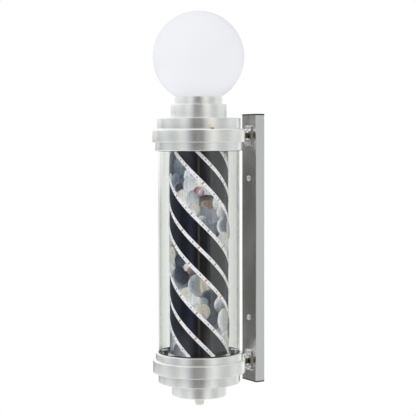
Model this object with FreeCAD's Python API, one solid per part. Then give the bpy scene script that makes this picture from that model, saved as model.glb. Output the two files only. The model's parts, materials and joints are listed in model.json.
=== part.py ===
import FreeCAD, Part
import math
import os
from FreeCAD import Base, Vector

# Wall-mounted barber pole light.  Millimetres, +Z up.
# Origin: centre of the wall channel's back face.  The wall is the plane y = 0 and the lamp stands out
# towards -Y.  The pole's own parts are drawn round a vertical axis at x = y = 0 and are then carried
# out to the pole's axis by out_to_pole().

# ---------------------------------------------------------------- driving dimensions
CHANNEL_WIDTH = 54.0
CHANNEL_DEPTH = 22.0
CHANNEL_LENGTH = 570.0
CHANNEL_WALL = 2.0
PLUG_RIM = 3.0            # thickness of a plug's rim outside the channel
PLUG_DEPTH = 14.0         # how far a plug goes into the channel
WALL_HOLE_SPACING = 300.0
WALL_HOLE_RADIUS = 2.75   # holes for the wall's own 5 mm screws, in the back face
DRIVER_HOLE_RADIUS = 4.5  # holes in the front face that let the screws and a driver through

POLE_STANDOFF = 126.0     # channel front face to the pole's axis
PIVOT_STANDOFF = 9.0      # channel front face to the pivot bolts' axis
SADDLE_WIDTH = 24.0
SADDLE_HEIGHT = 44.0
SADDLE_PLATE = 3.0
CLEVIS_GAP = 12.0         # between the two flanges of a saddle
CLEVIS_DEPTH = 18.0       # channel front face to the flanges' free end
PIVOT_RADIUS = 3.0

GLOBE_RADIUS = 95.5
GLOBE_WALL = 3.0
GLOBE_CENTRE_Z = 405.5
GLOBE_SEAT = 3.4          # chamfer in the collar's mouth that clears the ball

COLLAR_RADIUS = 49.25     # ring that holds the globe's neck
STEP_RADIUS = 58.5        # narrow step under the collar
COVER_RADIUS = 87.5       # wide top cover
BAND_RADIUS = 97.5        # widest bands, top and bottom
TUBE_RING_RADIUS = 91.5   # rings round the ends of the clear tube
LOWER_COVER_RADIUS = 86.0
CUP_RADIUS = 57.5
TUBE_RADIUS = 85.0
TUBE_WALL = 3.0
DRUM_RADIUS = 61.0        # bare drum, before its films

COLLAR_TOP = 322.0
STEP_TOP = 306.5
COVER_TOP = 278.0
UPPER_BAND_TOP = 255.5
UPPER_BAND_BOTTOM = 227.5
UPPER_RING_BOTTOM = 210.0
LOWER_RING_TOP = -213.5
LOWER_BAND_TOP = -229.0
LOWER_BAND_BOTTOM = -255.5
LOWER_COVER_BOTTOM = -277.0
CUP_BOTTOM = -305.0
GLAND_BOTTOM = -327.0

HELIX_LEAD = 390.0        # drop of a stripe in one turn of the drum
FACING = math.radians(-30.0)   # direction that the stripe heights below are measured on
STRIP_HEIGHTS = (64.5, 9.3, -43.8)   # light strips: mirror above the first, black between, mirror below
STRIP_WIDTH = 8.0
FILM_THICKNESS = 0.4
STRIP_THICKNESS = 0.5
GLUE = 0.05               # adhesive gap between films on the drum

# ---------------------------------------------------------------- shared details
SHELL = 2.5               # wall of the turned covers
PLATE = 3.0               # flat tops, floors and decks
WIRE_HOLE = 12.0          # radius of the hole for the lamp's wires
OPENING = 44.0            # radius of the openings between the covers
EDGE = 1.0                # rounding of the turned parts' visible corners
SHOULDER = 2.5            # larger rounding on top of the upper band
SEAL_LIP = 1.0            # the seals' lips stand this far out of the tube rings
SLIP = 0.1                # gap round parts of one body that slide together
RUNNING = 0.05            # radial clearance of a shaft in its bearing
NECK_RADIUS = 40.0        # globe's neck, outside
SHELF_RADIUS = 76.0       # inner radius of the shelves in the bands
BORE_GAP = 0.6            # between the clear tube and the bands
SEAL_THICKNESS = 1.8
TUBE_TOP = UPPER_BAND_TOP - 8.0
TUBE_BOTTOM = LOWER_BAND_TOP - 3.5
DECK_TOP = LOWER_RING_TOP - 8.0
DRUM_BOTTOM = DECK_TOP + 6.0
DRUM_TOP = UPPER_BAND_BOTTOM - 0.5
SCREW_RADIUS = 1.5        # the common M3 pan-head screw
SCREW_HOLE = 1.6
SCREW_HEAD_RADIUS = 2.9
SCREW_HEAD_HEIGHT = 2.0
SLOT_WIDTH = 0.8          # driver slot in a screw's head
SHAFT_RADIUS = 3.5        # gear motor's output shaft
AXLE_RADIUS = 4.0         # drum's upper axle
CORD_RADIUS = 4.0         # bore of the cable gland
GLAND_THREAD_RADIUS = 8.0
LOWER_SHELF_RADIUS = 74.0
STEP_SCREW_CIRCLE = STEP_RADIUS - 6
COVER_SCREW_CIRCLE = 80.5
CUP_SCREW_CIRCLE = 49.0
PILLAR_CIRCLE = 78.5
DECK_SCREW_GRIP = 6.0     # how far the deck's screws go into the lower band
COVER_LOCK_ANGLE = -13.6
COVER_LOCK_CIRCLE = 92.1
LOCK_SCREW_RADIUS = 2.0
COLLAR_SCREW_ANGLES = (60.0, 240.0)
CLIP_ANGLES = (60.0, 240.0)
THIRDS = (0.0, 120.0, 240.0)
QUARTERS = (45.0, 135.0, 225.0, 315.0)

CHANNEL_FRONT = -CHANNEL_DEPTH
POLE_Y = CHANNEL_FRONT - POLE_STANDOFF
PIVOT_Y = CHANNEL_FRONT - PIVOT_STANDOFF
UPPER_CLEVIS_Z = (UPPER_BAND_TOP + UPPER_BAND_BOTTOM) / 2
LOWER_CLEVIS_Z = (LOWER_BAND_TOP + LOWER_BAND_BOTTOM) / 2
CLEVIS_HEIGHTS = (UPPER_CLEVIS_Z, LOWER_CLEVIS_Z)
WALL_HOLE_HEIGHTS = (WALL_HOLE_SPACING / 2, -WALL_HOLE_SPACING / 2)


# ---------------------------------------------------------------- helpers
def save(name, *solids):
    """Write one sub-part, which may be several separate solids, to its STEP file."""
    shape = solids[0] if len(solids) == 1 else Part.makeCompound(list(solids))
    shape.exportStep("parts/%s.step" % name)


def cylinder(radius, bottom, top, x=0.0, y=0.0):
    return Part.makeCylinder(radius, top - bottom, Vector(x, y, bottom))


def ring(outer, inner, bottom, top):
    return cylinder(outer, bottom, top).cut(cylinder(inner, bottom - 1, top + 1))


def block(x_range, y_range, z_range):
    low, high = zip(x_range, y_range, z_range)
    size = [b - a for a, b in zip(low, high)]
    return Part.makeBox(*size, Vector(*low))


def turned(*outline):
    """Revolve a closed outline of (radius, height) corners round the Z axis."""
    corners = [Vector(radius, 0, height) for radius, height in outline]
    face = Part.Face(Part.makePolygon(corners + corners[:1]))
    return face.revolve(Vector(0, 0, 0), Vector(0, 0, 1), 360)


def rounded(shape, *rims):
    """Round outside corners, each given as (radius, height, rounding)."""
    for radius, height, rounding in rims:
        edges = [e for e in shape.Edges if e.BoundBox.ZLength < 1e-3
                 and abs(e.BoundBox.ZMin - height) < 1e-3 and abs(e.BoundBox.XMax - radius) < 1e-3]
        shape = shape.makeFillet(rounding, edges)
    return shape


def hexagon(across_flats, bottom, top, x=0.0, y=0.0):
    reach = across_flats / math.sqrt(3)
    corners = []
    for turn in range(7):
        angle = math.radians(60 * turn)
        corners.append(Vector(x + reach * math.cos(angle), y + reach * math.sin(angle), bottom))
    return Part.Face(Part.makePolygon(corners)).extrude(Vector(0, 0, top - bottom))


def turned_about_pole(shape, degrees):
    copy = shape.copy()
    copy.rotate(Vector(0, 0, 0), Vector(0, 0, 1), degrees)
    return copy


def round_the_pole(shape, angles):
    return [turned_about_pole(shape, degrees) for degrees in angles]


def out_to_pole(shape):
    return shape.translated(Vector(0, POLE_Y, 0))


def save_on_pole(name, *solids):
    save(name, *[out_to_pole(solid) for solid in solids])


def rods(radius, bottom, top, circle, angles):
    """Straight upright cylinders on a circle round the pole's axis."""
    return round_the_pole(cylinder(radius, bottom, top, circle), angles)


def screw_down(seat, reach, circle=0.0, radius=SCREW_RADIUS, head_radius=SCREW_HEAD_RADIUS,
               head_height=SCREW_HEAD_HEIGHT):
    """An upright slotted screw with its pan head on top of the height `seat`, at (circle, 0)."""
    top = seat + head_height
    shank = cylinder(radius, seat - reach, seat, circle)
    head = cylinder(head_radius, seat, top, circle)
    top_edge = [e for e in head.Edges if abs(e.BoundBox.ZMin - top) < 1e-6]
    head = head.makeFillet(head_height * 0.45, top_edge)
    slot = block((circle - head_radius, circle + head_radius), (-SLOT_WIDTH / 2, SLOT_WIDTH / 2),
                 (top - head_height * 0.4, top + 1))
    return shank.fuse(head).cut(slot).removeSplitter()


def screw_up(seat, reach, circle):
    """The same screw turned over: its head hangs under `seat`."""
    screw = screw_down(0.0, reach, circle)
    screw.rotate(Vector(circle, 0, 0), Vector(1, 0, 0), 180)
    return screw.translated(Vector(0, 0, seat))


def screw_into_channel(seat_y, reach, z, **sizes):
    """A horizontal screw: its head stands towards -Y on the plane y = seat_y."""
    screw = screw_down(0.0, reach, **sizes)
    screw.rotate(Vector(0, 0, 0), Vector(1, 0, 0), 90)
    return screw.translated(Vector(0, seat_y, z))


def screw_holes(bottom, top, circle, angles):
    """Clearance or pilot holes for the common screw."""
    return rods(SCREW_HOLE, bottom - 1, top + 1, circle, angles)


def drilled_along_y(radius, start_y, depth, z, x=0.0):
    return Part.makeCylinder(radius, depth, Vector(x, start_y, z), Vector(0, 1, 0))


# ---------------------------------------------------------------- wall bracket
SADDLE_SCREW_OFFSET = 17.8
SADDLE_SCREW_RADIUS = 2.0
SADDLE_SCREW_HEAD = 3.0
FLANGE_OUTER = CLEVIS_GAP / 2 + SADDLE_PLATE
FLANGE_ROUNDING = 7.0
HOLE_PLUG_HEAD_RADIUS = 5.6
HOLE_PLUG_HEAD_HEIGHT = 3.0
HOLE_PLUG_REACH = 6.0
BOLT_HEAD_RADIUS = 5.25
BOLT_HEAD_RIM = 2.0       # straight part of the domed head
BOLT_DOME_RADIUS = 6.0
NUT_ACROSS_FLATS = 10.0
NUT_HEIGHT = 5.0
LUG_HEIGHT = CLEVIS_GAP - 0.6
LUG_RADIUS = 5.5


def saddle_screw_heights():
    return [z + side * SADDLE_SCREW_OFFSET for z in CLEVIS_HEIGHTS for side in (1, -1)]


def wall_channel():
    half_w, half_l = CHANNEL_WIDTH / 2, CHANNEL_LENGTH / 2
    tube = block((-half_w, half_w), (CHANNEL_FRONT, 0), (-half_l, half_l))
    upright = [e for e in tube.Edges if e.BoundBox.ZLength > CHANNEL_LENGTH / 2]
    tube = tube.makeFillet(EDGE, upright)
    inside = block((CHANNEL_WALL - half_w, half_w - CHANNEL_WALL),
                   (CHANNEL_FRONT + CHANNEL_WALL, -CHANNEL_WALL), (-half_l - 1, half_l + 1))
    holes = []
    start = CHANNEL_FRONT - 1
    for z in WALL_HOLE_HEIGHTS:
        holes.append(drilled_along_y(WALL_HOLE_RADIUS, start, CHANNEL_DEPTH + 2, z))
        holes.append(drilled_along_y(DRIVER_HOLE_RADIUS, start, CHANNEL_WALL + 2, z))
    for z in saddle_screw_heights():
        holes.append(drilled_along_y(SADDLE_SCREW_RADIUS + SLIP, start, CHANNEL_WALL + 2, z))
    return tube.cut([inside] + holes)


def channel_plug():
    """The upper end's plug; the lower one is its mirror image."""
    half_w, end = CHANNEL_WIDTH / 2, CHANNEL_LENGTH / 2
    rim = block((-half_w, half_w), (CHANNEL_FRONT, 0), (end, end + PLUG_RIM))
    outer = [e for e in rim.Edges if e.BoundBox.ZMax > end + PLUG_RIM / 2]
    rim = rim.makeFillet(EDGE * 0.8, outer)
    inset = CHANNEL_WALL + SLIP
    stem = block((inset - half_w, half_w - inset), (CHANNEL_FRONT + inset, -inset), (end - PLUG_DEPTH, end))
    return rim.fuse(stem).removeSplitter()


def hole_plugs():
    """Bright pan-head plugs that close the driver holes in the channel's front."""
    sizes = dict(radius=DRIVER_HOLE_RADIUS - SLIP, head_radius=HOLE_PLUG_HEAD_RADIUS,
                 head_height=HOLE_PLUG_HEAD_HEIGHT)
    return [screw_into_channel(CHANNEL_FRONT, HOLE_PLUG_REACH, z, **sizes) for z in WALL_HOLE_HEIGHTS]


def saddle(clevis_z):
    """A plate on the channel's front with two flanges, drilled for the pivot bolt."""
    half_w, half_h = SADDLE_WIDTH / 2, SADDLE_HEIGHT / 2
    back = CHANNEL_FRONT - SADDLE_PLATE
    plate = block((-half_w, half_w), (back, CHANNEL_FRONT), (clevis_z - half_h, clevis_z + half_h))
    corners = [e for e in plate.Edges if e.BoundBox.YLength > SADDLE_PLATE / 2]
    body = plate.makeFillet(3.0, corners)
    free_end = CHANNEL_FRONT - CLEVIS_DEPTH
    for low in (clevis_z + CLEVIS_GAP / 2, clevis_z - FLANGE_OUTER):
        flange = block((-half_w, half_w), (free_end, back + 0.5), (low, low + SADDLE_PLATE))
        upright = [e for e in flange.Edges if e.BoundBox.ZLength > SADDLE_PLATE / 2]
        ends = [e for e in upright if e.BoundBox.YMax < free_end + 1]
        body = body.fuse(flange.makeFillet(FLANGE_ROUNDING, ends))
    tools = [cylinder(PIVOT_RADIUS + RUNNING, clevis_z - half_h, clevis_z + half_h, 0, PIVOT_Y)]
    for side in (1, -1):
        z = clevis_z + side * SADDLE_SCREW_OFFSET
        tools.append(drilled_along_y(SADDLE_SCREW_RADIUS + SLIP, back - 1, SADDLE_PLATE + 2, z))
    return body.cut(tools).removeSplitter()


def saddle_screws():
    seat, reach = CHANNEL_FRONT - SADDLE_PLATE, SADDLE_PLATE + CHANNEL_WALL + 5
    sizes = dict(radius=SADDLE_SCREW_RADIUS, head_radius=SADDLE_SCREW_HEAD)
    return [screw_into_channel(seat, reach, z, **sizes) for z in saddle_screw_heights()]


def pivot_bolt(clevis_z):
    """Domed socket head above the upper flange, tip below the nut."""
    seat = clevis_z + FLANGE_OUTER
    rim_top = seat + BOLT_HEAD_RIM
    tip = clevis_z - FLANGE_OUTER - NUT_HEIGHT - 2.5
    shank = cylinder(PIVOT_RADIUS, tip, seat + 1, 0, PIVOT_Y)
    head = cylinder(BOLT_HEAD_RADIUS, seat, rim_top, 0, PIVOT_Y)
    sink = math.sqrt(BOLT_DOME_RADIUS ** 2 - BOLT_HEAD_RADIUS ** 2)
    dome = Part.makeSphere(BOLT_DOME_RADIUS, Vector(0, PIVOT_Y, rim_top - sink))
    dome = dome.common(cylinder(BOLT_HEAD_RADIUS, rim_top, rim_top + BOLT_DOME_RADIUS, 0, PIVOT_Y))
    key = hexagon(3.0, rim_top + 0.2, rim_top + BOLT_DOME_RADIUS, 0, PIVOT_Y)
    return shank.fuse([head, dome]).cut(key).removeSplitter()


def pivot_nut(clevis_z):
    """Hexagon nut under the lower flange, with its lower corners turned off."""
    top = clevis_z - FLANGE_OUTER
    nut = hexagon(NUT_ACROSS_FLATS, top - NUT_HEIGHT, top, 0, PIVOT_Y)
    flat, reach = NUT_ACROSS_FLATS / 2, NUT_ACROSS_FLATS / math.sqrt(3) + 0.1
    envelope = turned((0, -NUT_HEIGHT), (flat, -NUT_HEIGHT), (reach, 0.8 - NUT_HEIGHT), (reach, 0), (0, 0))
    nut = nut.common(envelope.translated(Vector(0, PIVOT_Y, top)))
    return nut.cut(cylinder(PIVOT_RADIUS + RUNNING, top - NUT_HEIGHT - 1, top + 1, 0, PIVOT_Y))


# ---------------------------------------------------------------- globe, lamp and collar
HOLDER_FLOOR = STEP_TOP + PLATE
HOLDER_TOP = HOLDER_FLOOR + 35.0
HOLDER_RADIUS = 19.0
HOLDER_FLANGE_RADIUS = 30.0
HOLDER_SCREW_CIRCLE = 25.0
GRUB_RADIUS = 2.0
GRUB_Z = COLLAR_TOP - 6.0
BULB_NECK = HOLDER_TOP + 0.5
BULB_RADIUS = 30.0
THREAD_PITCH = 3.6
THREAD_ROOT = 12.2
THREAD_CREST = 13.1


def globe():
    """Opal ball with a short neck and a bead, open at the bottom."""
    inner = GLOBE_RADIUS - GLOBE_WALL
    centre = Vector(0, 0, GLOBE_CENTRE_Z)
    neck_bottom = HOLDER_FLOOR + 1.6
    neck_top = GLOBE_CENTRE_Z - math.sqrt(GLOBE_RADIUS ** 2 - NECK_RADIUS ** 2) + 2
    solid = Part.makeSphere(GLOBE_RADIUS, centre).fuse(cylinder(NECK_RADIUS, neck_bottom, neck_top))
    bead = turned((NECK_RADIUS - 1, neck_bottom), (NECK_RADIUS + 2, neck_bottom),
                  (NECK_RADIUS + 2.5, neck_bottom + 1.5), (NECK_RADIUS - 1, neck_bottom + 3))
    solid = solid.fuse(bead)
    hollow = Part.makeSphere(inner, centre)
    opening = cylinder(NECK_RADIUS - GLOBE_WALL, neck_bottom - 1, neck_top + 8)
    return solid.cut(hollow.fuse(opening)).removeSplitter()


def globe_collar():
    inner = NECK_RADIUS + 3.5
    collar = turned((WIRE_HOLE, STEP_TOP), (COLLAR_RADIUS, STEP_TOP), (COLLAR_RADIUS, COLLAR_TOP),
                    (inner + GLOBE_SEAT, COLLAR_TOP), (inner, COLLAR_TOP - GLOBE_SEAT), (inner, HOLDER_FLOOR),
                    (WIRE_HOLE, HOLDER_FLOOR))
    collar = rounded(collar, (COLLAR_RADIUS, COLLAR_TOP, EDGE))
    tools = screw_holes(STEP_TOP, HOLDER_FLOOR, HOLDER_SCREW_CIRCLE, (0, 180))
    for angle in COLLAR_SCREW_ANGLES:
        hole = Part.makeCylinder(GRUB_RADIUS + SLIP, 20, Vector(inner - 5, 0, GRUB_Z), Vector(1, 0, 0))
        tools.append(turned_about_pole(hole, angle))
    return collar.cut(tools)


def collar_screws():
    """Socket grub screws that grip the globe's neck."""
    tip, end = NECK_RADIUS + 2 * SLIP, COLLAR_RADIUS + 0.2
    screw = Part.makeCylinder(GRUB_RADIUS, end - tip, Vector(tip, 0, GRUB_Z), Vector(1, 0, 0))
    socket = Part.makeCylinder(GRUB_RADIUS / 2, 3, Vector(end - 2, 0, GRUB_Z), Vector(1, 0, 0))
    return round_the_pole(screw.cut(socket), COLLAR_SCREW_ANGLES)


def globe_gasket():
    return ring(NECK_RADIUS + 3, NECK_RADIUS - 4, HOLDER_FLOOR, HOLDER_FLOOR + 1.5)


def lamp_holder():
    """Round screw-base lamp holder on a flange."""
    flange_top, well = HOLDER_FLOOR + PLATE, HOLDER_FLOOR + 8
    flange, bore = HOLDER_FLANGE_RADIUS, THREAD_CREST + 0.5
    body = turned((8, HOLDER_FLOOR), (flange, HOLDER_FLOOR), (flange, flange_top),
                  (HOLDER_RADIUS, flange_top), (HOLDER_RADIUS, HOLDER_TOP), (bore, HOLDER_TOP), (bore, well),
                  (8, well))
    return body.cut(screw_holes(HOLDER_FLOOR, flange_top, HOLDER_SCREW_CIRCLE, (0, 180)))


def lamp_holder_screws():
    return round_the_pole(screw_down(HOLDER_FLOOR + PLATE, 10.5, HOLDER_SCREW_CIRCLE), (0, 180))


def bulb_base():
    """Metal screw cap with its rolled thread as rings."""
    outline = [(0, BULB_NECK - 24), (5, BULB_NECK - 24), (11, BULB_NECK - 21)]
    for turn in range(5):
        root = BULB_NECK - 20 + turn * THREAD_PITCH
        outline += [(THREAD_ROOT, root), (THREAD_CREST, root + 1.4), (THREAD_CREST, root + 2.0),
                    (THREAD_ROOT, root + THREAD_PITCH - 0.2)]
    outline += [(THREAD_CREST, BULB_NECK - 1), (THREAD_CREST, BULB_NECK), (0, BULB_NECK)]
    return turned(*outline)


def bulb():
    """Frosted bulb: a cone that meets a ball."""
    ball_z = BULB_NECK + 53.0
    seam_radius = 0.8 * BULB_RADIUS
    seam = math.sqrt(BULB_RADIUS ** 2 - seam_radius ** 2)
    cone = turned((0, BULB_NECK), (14, BULB_NECK), (seam_radius, ball_z - seam), (0, ball_z - seam))
    ball = Part.makeSphere(BULB_RADIUS, Vector(0, 0, ball_z))
    cap = ball.common(cylinder(BULB_RADIUS + 1, ball_z - seam, ball_z + BULB_RADIUS + 1))
    return cone.fuse(cap).removeSplitter()


# ---------------------------------------------------------------- turned covers, bands and rings
def step_cap():
    inner, foot, ceiling = STEP_RADIUS - SHELL, COVER_TOP + SHELL, STEP_TOP - PLATE
    flange = STEP_RADIUS - 10
    cap = turned((WIRE_HOLE, STEP_TOP), (STEP_RADIUS, STEP_TOP), (STEP_RADIUS, COVER_TOP),
                 (flange, COVER_TOP), (flange, foot), (inner, foot), (inner, ceiling), (WIRE_HOLE, ceiling))
    cap = rounded(cap, (STEP_RADIUS, STEP_TOP, EDGE))
    tools = screw_holes(ceiling, STEP_TOP, HOLDER_SCREW_CIRCLE, (0, 180))
    tools += screw_holes(COVER_TOP, foot, STEP_SCREW_CIRCLE, THIRDS)
    return cap.cut(tools)


def step_cap_screws():
    """Screws through the top cover's plate, up into the step cap's foot."""
    return round_the_pole(screw_up(COVER_TOP - PLATE, 5.5, STEP_SCREW_CIRCLE), THIRDS)


def top_cover():
    """Wide cover whose foot screws to the upper band and is notched for the bearing bridge."""
    inner, foot, ceiling = COVER_RADIUS - SHELL, UPPER_BAND_TOP + SHELL, COVER_TOP - PLATE
    flange = SHELF_RADIUS + 1
    cover = turned((OPENING, COVER_TOP), (COVER_RADIUS, COVER_TOP), (COVER_RADIUS, UPPER_BAND_TOP),
                   (flange, UPPER_BAND_TOP), (flange, foot), (inner, foot), (inner, ceiling),
                   (OPENING, ceiling))
    cover = rounded(cover, (COVER_RADIUS, COVER_TOP, EDGE))
    tools = screw_holes(ceiling, COVER_TOP, STEP_SCREW_CIRCLE, THIRDS)
    tools += screw_holes(UPPER_BAND_TOP, foot, COVER_SCREW_CIRCLE, QUARTERS)
    half_notch = BRIDGE_HALF_WIDTH + 1.5
    for angle in (0, 180):
        notch = block((flange - 3, inner - 1), (-half_notch, half_notch), (UPPER_BAND_TOP - 1, foot + 1))
        tools.append(turned_about_pole(notch, angle))
    return cover.cut(tools)


def top_cover_screws():
    return round_the_pole(screw_down(UPPER_BAND_TOP + SHELL, 8.0, COVER_SCREW_CIRCLE), QUARTERS)


def cover_lock_screw():
    """Brass slotted screw in the shoulder that keeps the top cover from turning."""
    screw = screw_down(UPPER_BAND_TOP, 9.0, COVER_LOCK_CIRCLE, radius=LOCK_SCREW_RADIUS,
                       head_radius=4.4, head_height=2.6)
    return turned_about_pole(screw, COVER_LOCK_ANGLE)


def lug_screw_holes(clevis_z):
    start, depth = BAND_RADIUS - 9, 20
    return [drilled_along_y(SCREW_HOLE, start, depth, clevis_z, side * LUG_SCREW_X) for side in (1, -1)]


def upper_band():
    inner = TUBE_RADIUS + BORE_GAP
    band = turned((SHELF_RADIUS, UPPER_BAND_TOP), (BAND_RADIUS, UPPER_BAND_TOP),
                  (BAND_RADIUS, UPPER_BAND_BOTTOM), (inner, UPPER_BAND_BOTTOM), (inner, TUBE_TOP + SLIP),
                  (SHELF_RADIUS, TUBE_TOP + SLIP))
    band = rounded(band, (BAND_RADIUS, UPPER_BAND_TOP, SHOULDER), (BAND_RADIUS, UPPER_BAND_BOTTOM, EDGE))
    tools = screw_holes(UPPER_BAND_TOP - 5, UPPER_BAND_TOP, COVER_SCREW_CIRCLE, QUARTERS)
    tools += screw_holes(UPPER_BAND_TOP - 5, UPPER_BAND_TOP, BRIDGE_SCREW_X, (0, 180))
    tools += rods(LOCK_SCREW_RADIUS + SLIP, UPPER_BAND_TOP - 10, UPPER_BAND_TOP + 1, COVER_LOCK_CIRCLE,
                  (COVER_LOCK_ANGLE,))
    return band.cut(tools + lug_screw_holes(UPPER_CLEVIS_Z))


def tube_ring(outer_end, band_end):
    """A ring that clamps the seal on the tube, with an inward flange at its visible end."""
    inward = 1 if band_end > outer_end else -1
    flange_end = outer_end + inward * PLATE
    seal_radius = TUBE_RADIUS + SEAL_THICKNESS + 2 * SLIP
    lip_radius = TUBE_RADIUS + SEAL_THICKNESS - 0.5
    clamp = turned((lip_radius, outer_end), (TUBE_RING_RADIUS, outer_end), (TUBE_RING_RADIUS, band_end),
                   (seal_radius, band_end), (seal_radius, flange_end), (lip_radius, flange_end))
    return rounded(clamp, (TUBE_RING_RADIUS, outer_end, 1.5 * EDGE))


def tube_seal(outer_end, band_end):
    """Rubber sleeve on the tube, with a thin lip that shows round the tube past the ring."""
    inward = 1 if band_end > outer_end else -1
    inner = TUBE_RADIUS + SLIP
    flange_end = outer_end + inward * (PLATE + SLIP)
    lip_end = outer_end - inward * SEAL_LIP
    lip_radius = inner + SEAL_THICKNESS - 0.7
    return turned((inner, lip_end), (lip_radius - 0.4, lip_end), (lip_radius, lip_end + inward * 0.4),
                  (lip_radius, flange_end), (inner + SEAL_THICKNESS, flange_end),
                  (inner + SEAL_THICKNESS, band_end - inward * SLIP), (inner, band_end - inward * SLIP))


def clear_tube():
    return ring(TUBE_RADIUS, TUBE_RADIUS - TUBE_WALL, TUBE_BOTTOM, TUBE_TOP)


def lower_band():
    inner = TUBE_RADIUS + BORE_GAP
    band = turned((inner, LOWER_BAND_TOP), (BAND_RADIUS, LOWER_BAND_TOP), (BAND_RADIUS, LOWER_BAND_BOTTOM),
                  (LOWER_SHELF_RADIUS, LOWER_BAND_BOTTOM), (LOWER_SHELF_RADIUS, TUBE_BOTTOM - SLIP),
                  (inner, TUBE_BOTTOM - SLIP))
    band = rounded(band, (BAND_RADIUS, LOWER_BAND_TOP, EDGE), (BAND_RADIUS, LOWER_BAND_BOTTOM, EDGE))
    tools = screw_holes(TUBE_BOTTOM - DECK_SCREW_GRIP, TUBE_BOTTOM, PILLAR_CIRCLE, QUARTERS)
    tools += screw_holes(LOWER_BAND_BOTTOM, LOWER_BAND_BOTTOM + 5, PILLAR_CIRCLE, THIRDS)
    return band.cut(tools + lug_screw_holes(LOWER_CLEVIS_Z))


def lower_cover():
    """Lower step, with an inward flange that screws up into the band."""
    inner = LOWER_COVER_RADIUS - SHELL
    flange = LOWER_BAND_BOTTOM - SHELL
    floor = LOWER_COVER_BOTTOM + PLATE
    cover = turned((OPENING, LOWER_COVER_BOTTOM), (LOWER_COVER_RADIUS, LOWER_COVER_BOTTOM),
                   (LOWER_COVER_RADIUS, LOWER_BAND_BOTTOM), (LOWER_SHELF_RADIUS, LOWER_BAND_BOTTOM),
                   (LOWER_SHELF_RADIUS, flange), (inner, flange), (inner, floor), (OPENING, floor))
    cover = rounded(cover, (LOWER_COVER_RADIUS, LOWER_COVER_BOTTOM, EDGE))
    tools = screw_holes(LOWER_COVER_BOTTOM, floor, CUP_SCREW_CIRCLE, THIRDS)
    tools += screw_holes(flange, LOWER_BAND_BOTTOM, PILLAR_CIRCLE, THIRDS)
    return cover.cut(tools)


def lower_cover_screws():
    return round_the_pole(screw_up(LOWER_BAND_BOTTOM - SHELL, 7.5, PILLAR_CIRCLE), THIRDS)


def bottom_cup():
    inner, flange = CUP_RADIUS - SHELL, LOWER_COVER_BOTTOM - SHELL
    gland_hole, floor = GLAND_THREAD_RADIUS + SLIP, CUP_BOTTOM + PLATE
    cup = turned((gland_hole, CUP_BOTTOM), (CUP_RADIUS, CUP_BOTTOM), (CUP_RADIUS, LOWER_COVER_BOTTOM),
                 (OPENING, LOWER_COVER_BOTTOM), (OPENING, flange), (inner, flange), (inner, floor),
                 (gland_hole, floor))
    cup = rounded(cup, (CUP_RADIUS, CUP_BOTTOM, 2 * EDGE))
    return cup.cut(screw_holes(flange, LOWER_COVER_BOTTOM, CUP_SCREW_CIRCLE, THIRDS))


def cup_screws():
    """Driven from inside the lower cover, down into the cup's flange."""
    return round_the_pole(screw_down(LOWER_COVER_BOTTOM + PLATE, 5.2, CUP_SCREW_CIRCLE), THIRDS)


# ---------------------------------------------------------------- cable gland
GLAND_FLANGE = 3.5
GLAND_NUT_RADIUS = 10.1
GLAND_SEAL_RADIUS = 7.0


def gland_body():
    flange = hexagon(20.0, CUP_BOTTOM - GLAND_FLANGE, CUP_BOTTOM)
    thread = cylinder(GLAND_THREAD_RADIUS, CUP_BOTTOM, CUP_BOTTOM + 10.0)
    bore = cylinder(CORD_RADIUS, CUP_BOTTOM - GLAND_FLANGE - 1, CUP_BOTTOM + 11)
    return flange.fuse(thread).cut(bore).removeSplitter()


def gland_nut():
    """Domed nut with shallow grips, hollow for the seal."""
    top, inner = CUP_BOTTOM - GLAND_FLANGE, GLAND_SEAL_RADIUS + SLIP
    nut = turned((CORD_RADIUS, GLAND_BOTTOM), (6.4, GLAND_BOTTOM), (8.2, GLAND_BOTTOM + 1.2),
                 (9.6, GLAND_BOTTOM + 3.2), (GLAND_NUT_RADIUS, GLAND_BOTTOM + 5.5), (GLAND_NUT_RADIUS, top),
                 (inner, top), (inner, GLAND_BOTTOM + 3), (CORD_RADIUS, GLAND_BOTTOM + 3))
    grips = rods(1.2, GLAND_BOTTOM + 4.5, top + 1, GLAND_NUT_RADIUS + 0.8, range(0, 360, 30))
    return nut.cut(grips)


def gland_seal():
    return ring(GLAND_SEAL_RADIUS, CORD_RADIUS, GLAND_BOTTOM + 3 + SLIP, CUP_BOTTOM - GLAND_FLANGE - SLIP)


def gland_locknut():
    floor = CUP_BOTTOM + PLATE
    return hexagon(22.0, floor, floor + 4).cut(cylinder(GLAND_THREAD_RADIUS + SLIP, floor - 1, floor + 5))


# ---------------------------------------------------------------- base deck, drive and supply
MOTOR_RADIUS = 25.0
MOTOR_HEIGHT = 22.0
MOTOR_SCREW_X = 31.0
MOTOR_BOSS_RADIUS = 8.0
MOTOR_EAR = 1.5           # thickness of the motor's sheet ears
DECK_BOTTOM = DECK_TOP - PLATE
RISER_ANGLE = 135.0
RISER_RADII = (71.5, 74.0)
RISER_HALF_WIDTH = 3.5
BLOCK_RADII = (66.0, 74.0)
BLOCK_HEIGHT = 11.0
CLIP_SHEET = 1.0
CLIP_SCREW_CIRCLE = 70.0


def base_deck():
    deck = cylinder(TUBE_RADIUS - TUBE_WALL - 0.4, DECK_BOTTOM, DECK_TOP)
    tools = [cylinder(MOTOR_BOSS_RADIUS + 0.5, DECK_BOTTOM - 1, DECK_TOP + 1)]
    patterns = ((PILLAR_CIRCLE, QUARTERS), (MOTOR_SCREW_X, (0, 180)), (CLIP_SCREW_CIRCLE, CLIP_ANGLES))
    for circle, angles in patterns:
        tools += screw_holes(DECK_BOTTOM, DECK_TOP, circle, angles)
    slot = block((RISER_RADII[0] - 1, RISER_RADII[1] + 1), (-RISER_HALF_WIDTH - 1, RISER_HALF_WIDTH + 1),
                 (DECK_BOTTOM - 1, DECK_TOP + 1))
    tools.append(turned_about_pole(slot, RISER_ANGLE))
    return deck.cut(tools)


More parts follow.
